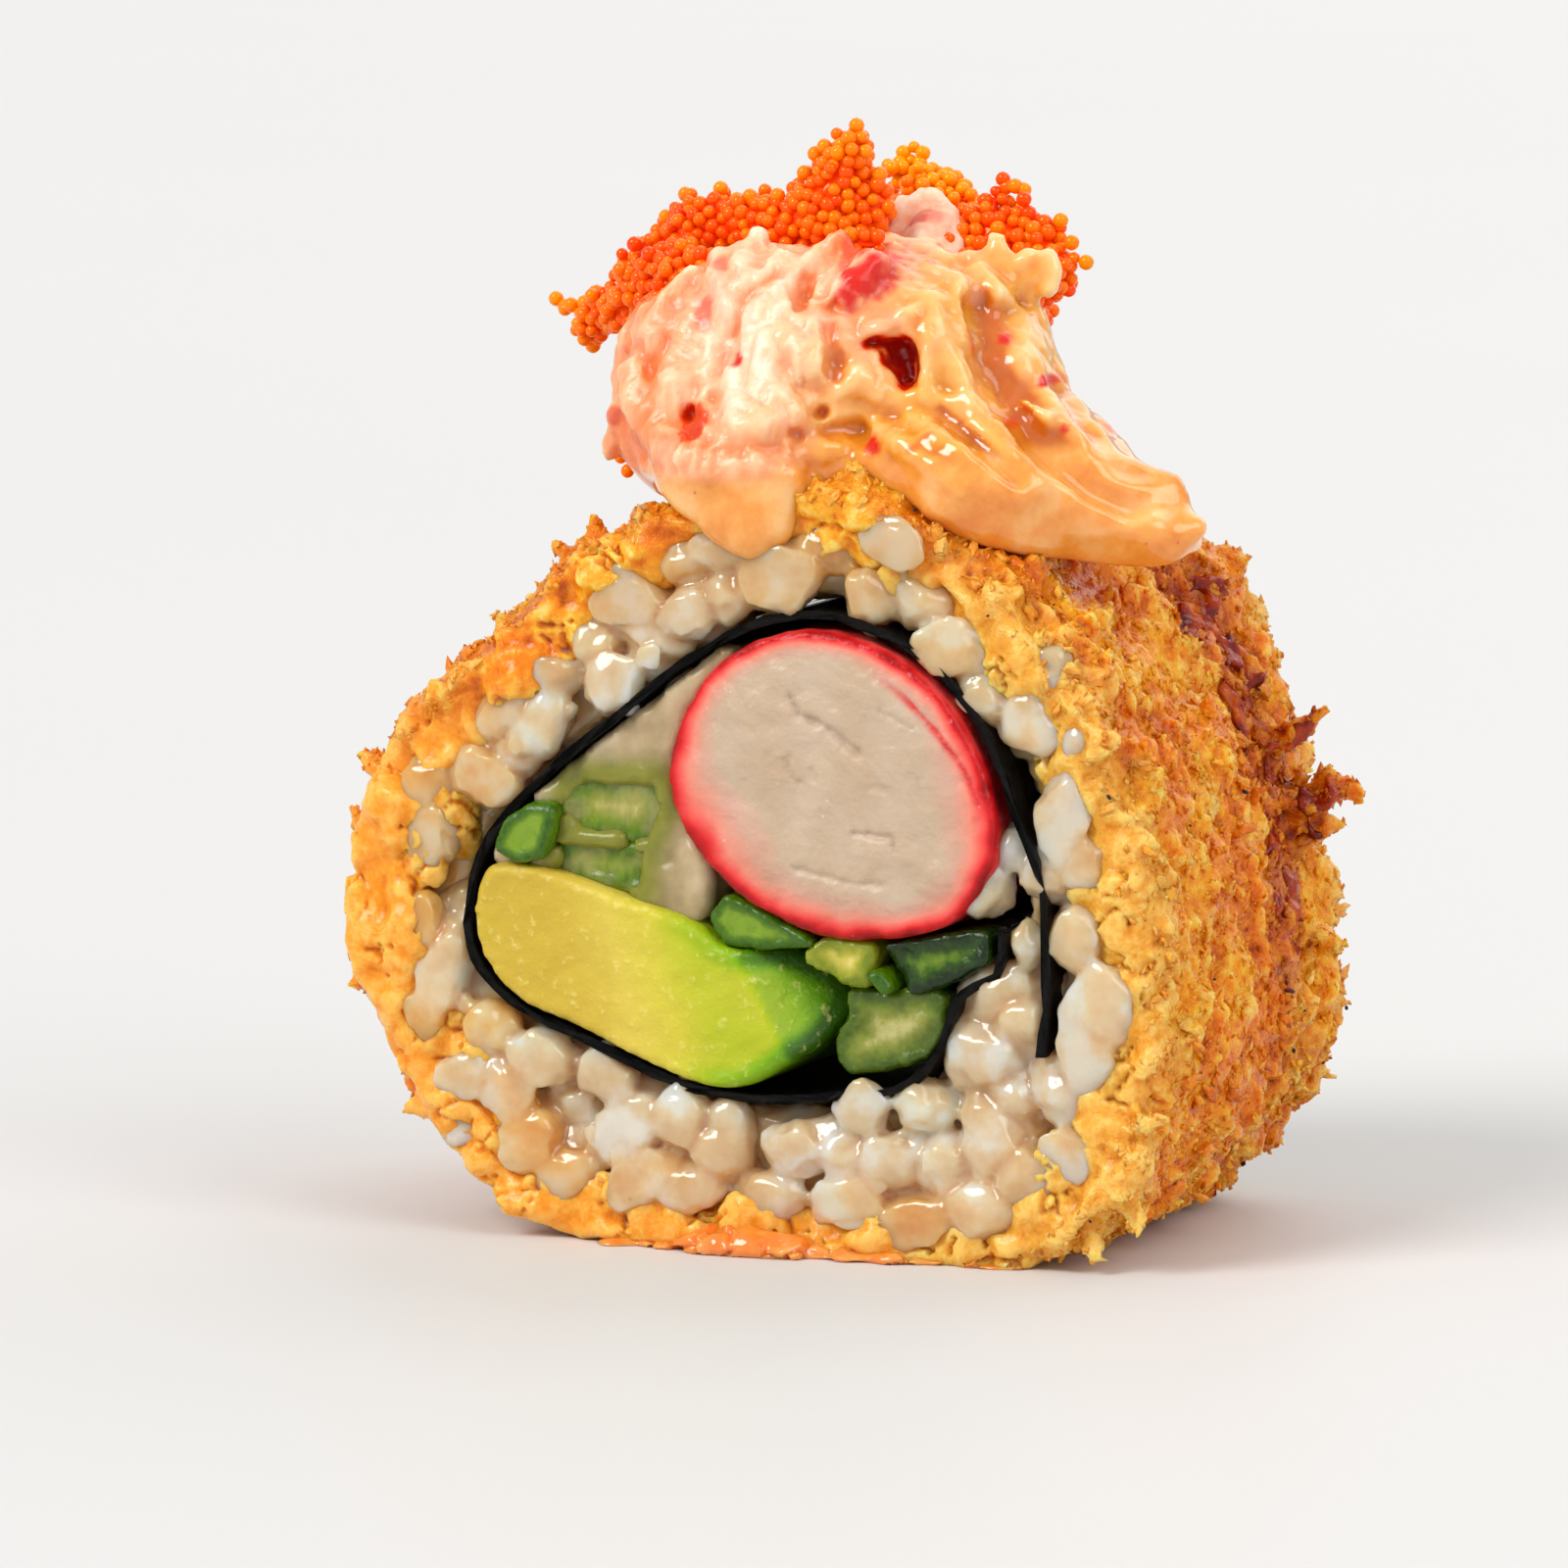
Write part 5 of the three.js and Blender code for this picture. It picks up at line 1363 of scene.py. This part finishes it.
def saladMaterial():
    # Surimi shreds in mayonnaise tinted with chilli oil: cream and pink where dry, apricot and glossy where
    # dressed. It is thick and soft to light. Its hollows and valleys are painted a deeper orange and its
    # crests paler, as painted shade and painted highlight.
    made, tree, shader, place = newMaterial("dressed_crab", {
        "Roughness": 0.3, "IOR": 1.44, "Subsurface Weight": 0.6, "Subsurface Radius": (1.0, 0.5, 0.18),
        "Subsurface Scale": 1.3 * mm, "Coat Roughness": 0.04,
    })
    cloud = addNode(tree, "TexNoise", {
        "Vector": place, "Scale": perMm(2.6), "Detail": 4.0, "Roughness": 0.6})
    tone = addNode(tree, "Math", {0: cloud, 1: 0.45, 2: -0.2}, operation="MULTIPLY_ADD")
    # the crests' painted highlight and the hollows' painted shade come in here
    tone = addNode(tree, "Math", {0: "crest", 1: tone}, operation="ADD")
    wetTone = addNode(tree, "Math", {0: "wet", 1: 0.1, 2: tone}, operation="MULTIPLY_ADD")
    dry = addNode(tree, "ValToRGB", {"Fac": tone}, stops=[
        (0.15, "#EC7C3C"), (0.34, "#F29660"), (0.5, "#F6AE80"), (0.68, "#F9C8A0"), (0.9, "#FDE0C4")])
    glossy = addNode(tree, "ValToRGB", {"Fac": wetTone}, stops=[
        (0.15, "#C86406"), (0.34, "#DA7E12"), (0.52, "#ECA034"), (0.74, "#F4BC64"), (0.95, "#FCDCA8")])
    colour = addNode(tree, "Mix", {"Factor": "wet", "A": dry, "B": glossy}, data_type="RGBA")
    pinks = addNode(tree, "TexNoise", {"Vector": place, "Scale": perMm(4.2), "Detail": 2.0})
    pink = addNode(tree, "ValToRGB", {"Fac": pinks}, stops=[(0.54, 0.0), (0.7, 0.5)])
    oily = addNode(tree, "ValToRGB", {"Fac": cloud}, stops=[
        (0.34, "#E68A2A"), (0.5, "#F2A448"), (0.68, "#FAC078")])
    specks = addNode(tree, "TexVoronoi", {"Vector": place, "Scale": perMm(1.7)})
    chilli = addNode(tree, "ValToRGB", {"Fac": specks}, stops=[(0.03, 0.8), (0.07, 0.0)])
    oily = addNode(tree, "Mix", {"Factor": chilli, "A": oily, "B": "#D5501A"}, data_type="RGBA")
    depths = addNode(tree, "ValToRGB", {"Fac": "hollow"}, stops=[
        (0.3, "#F08040"), (0.6, "#EC4A0A"), (1.0, "#B80E00")])
    inside = addNode(tree, "MapRange", {"Value": "hollow", "From Max": 0.5})
    for share, tint in ((pink, "#F8A888"), ("dressed", oily), ("stained", "#F9791A"), ("red", "#DC1C0C"),
                        (inside, depths)):
        colour = addNode(tree, "Mix", {"Factor": share, "A": colour, "B": tint}, data_type="RGBA")
    shiny = addNode(tree, "Math", {0: "wet", 1: "dressed"}, operation="MAXIMUM")
    gloss = addNode(tree, "Mix", {"Factor": shiny, "A": 0.34, "B": 0.14}, data_type="FLOAT")
    fibre = addNode(tree, "TexNoise", {"Vector": place, "Scale": perMm(0.8), "Detail": 3.0})
    rough = addNode(tree, "MapRange", {"Value": shiny, "To Min": 0.6, "To Max": 0.1})
    film = addNode(tree, "MapRange", {"Value": shiny, "To Min": 0.15, "To Max": 0.7})
    bump = addNode(tree, "Bump", {"Height": fibre, "Strength": rough, "Distance": 0.25 * mm})
    feed(tree, shader, {"Base Color": colour, "Roughness": gloss, "Coat Weight": film, "Normal": bump})
    return made


dressedCrab = saladMaterial()
finishPiece("crab_salad_mound", buildSalad(), dressedCrab, "crab_salad", "crab_salad")


# Roe: flying-fish eggs standing in peaks

roeLook = {
    "egg": 0.39, "loneEgg": 0.42, "spacing": 0.54, "samples": 52000,  # the eggs' radius in mm
    "voxel": 0.36, "coreInset": 0.25,
}
# Eggs that stand alone at the tips
loneEggs = [
    (-17.6, 2, 47.7), (-17, 1.8, 47.3), (-6.3, -2.5, 54), (-6.3, -2.5, 53.4), (1.9, -4, 57.5),
    (2.1, -4, 56.9), (0.6, 6, 55.6), (1.7, 6, 55.6), (8.4, 2, 54.2), (8.8, 2.2, 54), (12.7, 1, 50.4),
    (10.4, 0.3, 48.8), (-12.6, -0.5, 49.9), (-11.6, -1, 50.9), (-8.7, -1.5, 53.6), (11.1, 1.5, 52.5),
    (11.9, 1, 51.4), (-1.0, -4, 55), (-2.5, -4, 53.8), (4.1, 6, 53.9), (3.1, -3.8, 55), (-14.6, 0.5, 48.2),
    (-9.8, -1.5, 52.4), (-10.3, -1.3, 51.6), (-0.4, -4, 56), (0.2, -4.2, 56.4), (-4.2, -3.6, 53.7),
    (-5, -3.4, 53.5), (0, 6, 53.7), (2.9, -3.8, 54.4),
]


def roeBody(shrink):
    heap = strandHeap([(max(0.15, (p[3] + q[3]) / 2 - shrink), [p[:3], q[:3]])
                       for row in roeStrings for p, q in zip(row, row[1:])])
    inside = smoothed(skinOver(cadCopy("roe"), 0.5), 2)
    pushOut(inside, [-0.9 - shrink] * len(inside.vertices))
    heap.from_mesh(inside)
    mesh = smoothed(skinOver(heap, roeLook["voxel"]), 1)
    pushOut(mesh, 0.35 * ripple(pointsOf(mesh), 1.7, 141, 2))
    return mesh


def roeTints(point):
    # Yellower at the back, at the tip of the peak and at the end of the wing, as painted backlight glowing
    # through the outer eggs, plus a random tone.
    yellow = (0.85 * smoothStep(2.5, 5.5, point.y) * smoothStep(50, 53, point.z)
              + 0.5 * smoothStep(53.5, 57, point.z) + 0.5 * smoothStep(-12, -17, point.x)
              + dice.uniform(-0.2, 0.3))
    return {"yellow": float(np.clip(yellow, 0, 1)), "shade": dice.random()}


def buildEggs(body):
    egg = ballShape()
    spots = spotsOn(body, roeLook["samples"])
    copies = []
    for point, normal in spreadOut(spots, roeLook["spacing"]):
        size = roeLook["egg"] * dice.uniform(0.84, 1.12)
        spot = point + normal * dice.uniform(-0.1, 0.2)
        stretch = (size, size, size * dice.uniform(0.88, 1.08))
        copies.append((egg, laidOn(spot, anyDirection(), anyDirection(), stretch), roeTints(spot)))
        if dice.random() < 0.1:
            spot = spot + normal * dice.uniform(0.4, 0.6) + 0.25 * anyDirection()
            copies.append((egg, Matrix.Translation(spot) @ Matrix.Scale(size, 4), roeTints(spot)))
    for place in loneEggs:
        tints = roeTints(Vector(place))
        # the lone eggs at the tips get at least this much painted backlit yellow
        tints["yellow"] = max(tints["yellow"], 0.6)
        copies.append((egg, Matrix.Translation(place) @ Matrix.Scale(roeLook["loneEgg"], 4), tints))
    return toMesh(heapOf(copies))


def roeMaterial(name, clear):
    # Flying-fish roe: taut clear skins full of orange oil, so light runs through them and they shine. A
    # faint emission in their own colour is painted light that stands in for that glow.
    made, tree, shader, _ = newMaterial(name, {
        "Roughness": 0.05, "IOR": 1.45, "Transmission Weight": clear, "Specular IOR Level": 0.85,
        "Specular Tint": linear("#FFC48C"), "Emission Strength": 0.05,
    })
    orange = addNode(tree, "ValToRGB", {"Fac": "shade"}, stops=[
        (0.0, "#FF4400"), (0.5, "#FF5E00"), (1.0, "#FF7A00")])
    # the yellow mixed in here is painted backlight on the outer eggs
    colour = addNode(tree, "Mix", {"Factor": "yellow", "A": orange, "B": "#FFA000"}, data_type="RGBA")
    # the emission in the eggs' own colour is a painted glow
    feed(tree, shader, {"Base Color": colour, "Emission Color": colour})
    return made


eggs = buildEggs(roeBody(0.05))
finishPiece("roe_eggs", eggs, roeMaterial("flying_fish_roe", 0.06), "roe", "roe")
roeCore = roeBody(roeLook["coreInset"])
for tint in ("shade", "yellow"):
    paint(roeCore, tint, [0.0] * len(roeCore.vertices))
finishPiece("roe_core", roeCore, roeMaterial("roe_inside", 0.0), "roe")


# Dressing that has pooled under the front of the roll

poolLook = {"drops": 60, "left": -7.5, "width": 22, "front": -12.9, "voxel": 0.24}


def buildPool():
    ball = ballShape()
    copies = []
    for n in range(poolLook["drops"]):
        share = n / (poolLook["drops"] - 1)
        x = poolLook["left"] + poolLook["width"] * share
        high = 0.18 + 0.9 * math.exp(-((x + 0.5) / 3.5) ** 2) + 0.25 * math.exp(-((x - 6) / 4) ** 2)
        y = poolLook["front"] + dice.uniform(-0.5, 0.5) - 0.9 * math.exp(-((x + 0.5) / 4) ** 2)
        size = (dice.uniform(0.8, 1.6), dice.uniform(1, 1.8), high * dice.uniform(0.7, 1.2))
        copies.append((ball, Matrix.Translation((x, y, high * 0.4)) @ Matrix.Diagonal((*size, 1)), {}))
    mesh = smoothed(skinOver(heapOf(copies), poolLook["voxel"]), 5)
    points = pointsOf(mesh)
    pits = pebbles(points, 1.7, 9)
    bubbles = smoothStep(0.3, 0, pits) * (ripple(points, 3, 152, 1) > -0.1)
    pushOut(mesh, 0.16 * ripple(points, 1.4, 151, 2) - 0.4 * bubbles)
    points = pointsOf(mesh)
    points[:, 2] = np.maximum(points[:, 2], 0.02)
    setPoints(mesh, points)
    paint(mesh, "dressed", 1 - 0.5 * bubbles)
    paint(mesh, "stained", np.clip(0.6 + 0.4 * bubbles + 0.5 * ripple(points, 2, 153, 2), 0, 1))
    return mesh


finishPiece("mayonnaise_pool", buildPool(), dressedCrab, "crab_salad")


# Pepper: coarse specks here and there on the crust

pepperLook = {"specks": 46, "size": (0.2, 0.42), "lift": 0.22}


def buildPepper():
    speck = crumbShape(77, 1, 0.8, 0.5)
    copies = []
    for point, normal in spotsOn(crustSkin, pepperLook["specks"], onCrust):
        size = dice.uniform(*pepperLook["size"])
        spot = point + normal * pepperLook["lift"]
        copies.append((speck, laidOn(spot, normal, anyDirection(), (size,) * 3), {}))
    return toMesh(heapOf(copies))


def pepperMaterial():
    # Ground black pepper: dry dark husk, brown on its broken sides.
    made, tree, shader, place = newMaterial("black_pepper", {"Roughness": 0.7})
    husk = addNode(tree, "TexNoise", {"Vector": place, "Scale": perMm(0.3), "Detail": 3.0})
    colour = addNode(tree, "ValToRGB", {"Fac": husk}, stops=[(0.35, "#0E0A07"), (0.7, "#3A2A1C")])
    feed(tree, shader, {"Base Color": colour})
    return made


finishPiece("pepper_specks", buildPepper(), pepperMaterial(), "crust")


# Floor, light and camera

studioLook = {
    "floor": "#D9D8D6", "far": "#DAD9D7", "world": 0.575,
    # far soft lights: name, the side they come from, strength, and spread in degrees
    "suns": (
        ("windowLight", (-0.6, -0.95, 1.0), 1.9, 28), ("rightFill", (0.95, -0.4, 0.75), 0.9, 40),
        ("backLight", (0.2, 0.95, 0.9), 0.85, 60),
    ),
}
# in mm, except the distance in metres, and in degrees
cameraLook = {
    "lens": 216, "sensor": 36, "turn": 22, "rise": 6.8, "distance": 0.48, "target": (1.9, -14, 24.4),
}


def buildStage():
    sweep = bmesh.new()
    bmesh.ops.create_grid(sweep, x_segments=2, y_segments=2, size=6)
    mesh = toMesh(sweep, "table")
    made, tree, shader, place = newMaterial("white_table", {"Roughness": 0.5, "Specular IOR Level": 0.2})
    haze = addNode(tree, "TexNoise", {"Vector": place, "Scale": 4.0, "Detail": 1.0})
    colour = addNode(tree, "ValToRGB", {"Fac": haze}, stops=[
        (0.3, studioLook["floor"]), (0.7, studioLook["far"])])
    feed(tree, shader, {"Base Color": colour})
    mesh.materials.append(made)
    floor = bpy.data.objects.new("table", mesh)
    scene.collection.objects.link(floor)


def addSun(name, fromSide, strength, spread):
    # A far softbox: the same light on the roll and on the whole table.
    lamp = bpy.data.lights.new(name, "SUN")
    lamp.energy = strength
    lamp.angle = math.radians(spread)
    holder = bpy.data.objects.new(name, lamp)
    holder.rotation_euler = (-Vector(fromSide)).to_track_quat("-Z", "Y").to_euler()
    scene.collection.objects.link(holder)


buildStage()
world = bpy.data.worlds.new("studio")
world.use_nodes = True
scene.world = world
world.node_tree.nodes["Background"].inputs["Color"].default_value = linear("#FFFFFF")
world.node_tree.nodes["Background"].inputs["Strength"].default_value = studioLook["world"]
for name, fromSide, strength, spread in studioLook["suns"]:
    addSun(name, fromSide, strength, spread)

target = toFrame @ Vector(cameraLook["target"])
turn, rise = math.radians(cameraLook["turn"]), math.radians(cameraLook["rise"])
back = Vector((math.sin(turn) * math.cos(rise), -math.cos(turn) * math.cos(rise), math.sin(rise)))
lens = bpy.data.cameras.new("camera")
lens.lens = cameraLook["lens"]
lens.sensor_width = cameraLook["sensor"]
lens.clip_start = 0.01
camera = bpy.data.objects.new("camera", lens)
camera.location = target + back * cameraLook["distance"]
camera.rotation_euler = (-back).to_track_quat("-Z", "Y").to_euler()
scene.collection.objects.link(camera)
scene.camera = camera
scene.view_settings.view_transform = "Standard"
print("stage, light and camera are set")
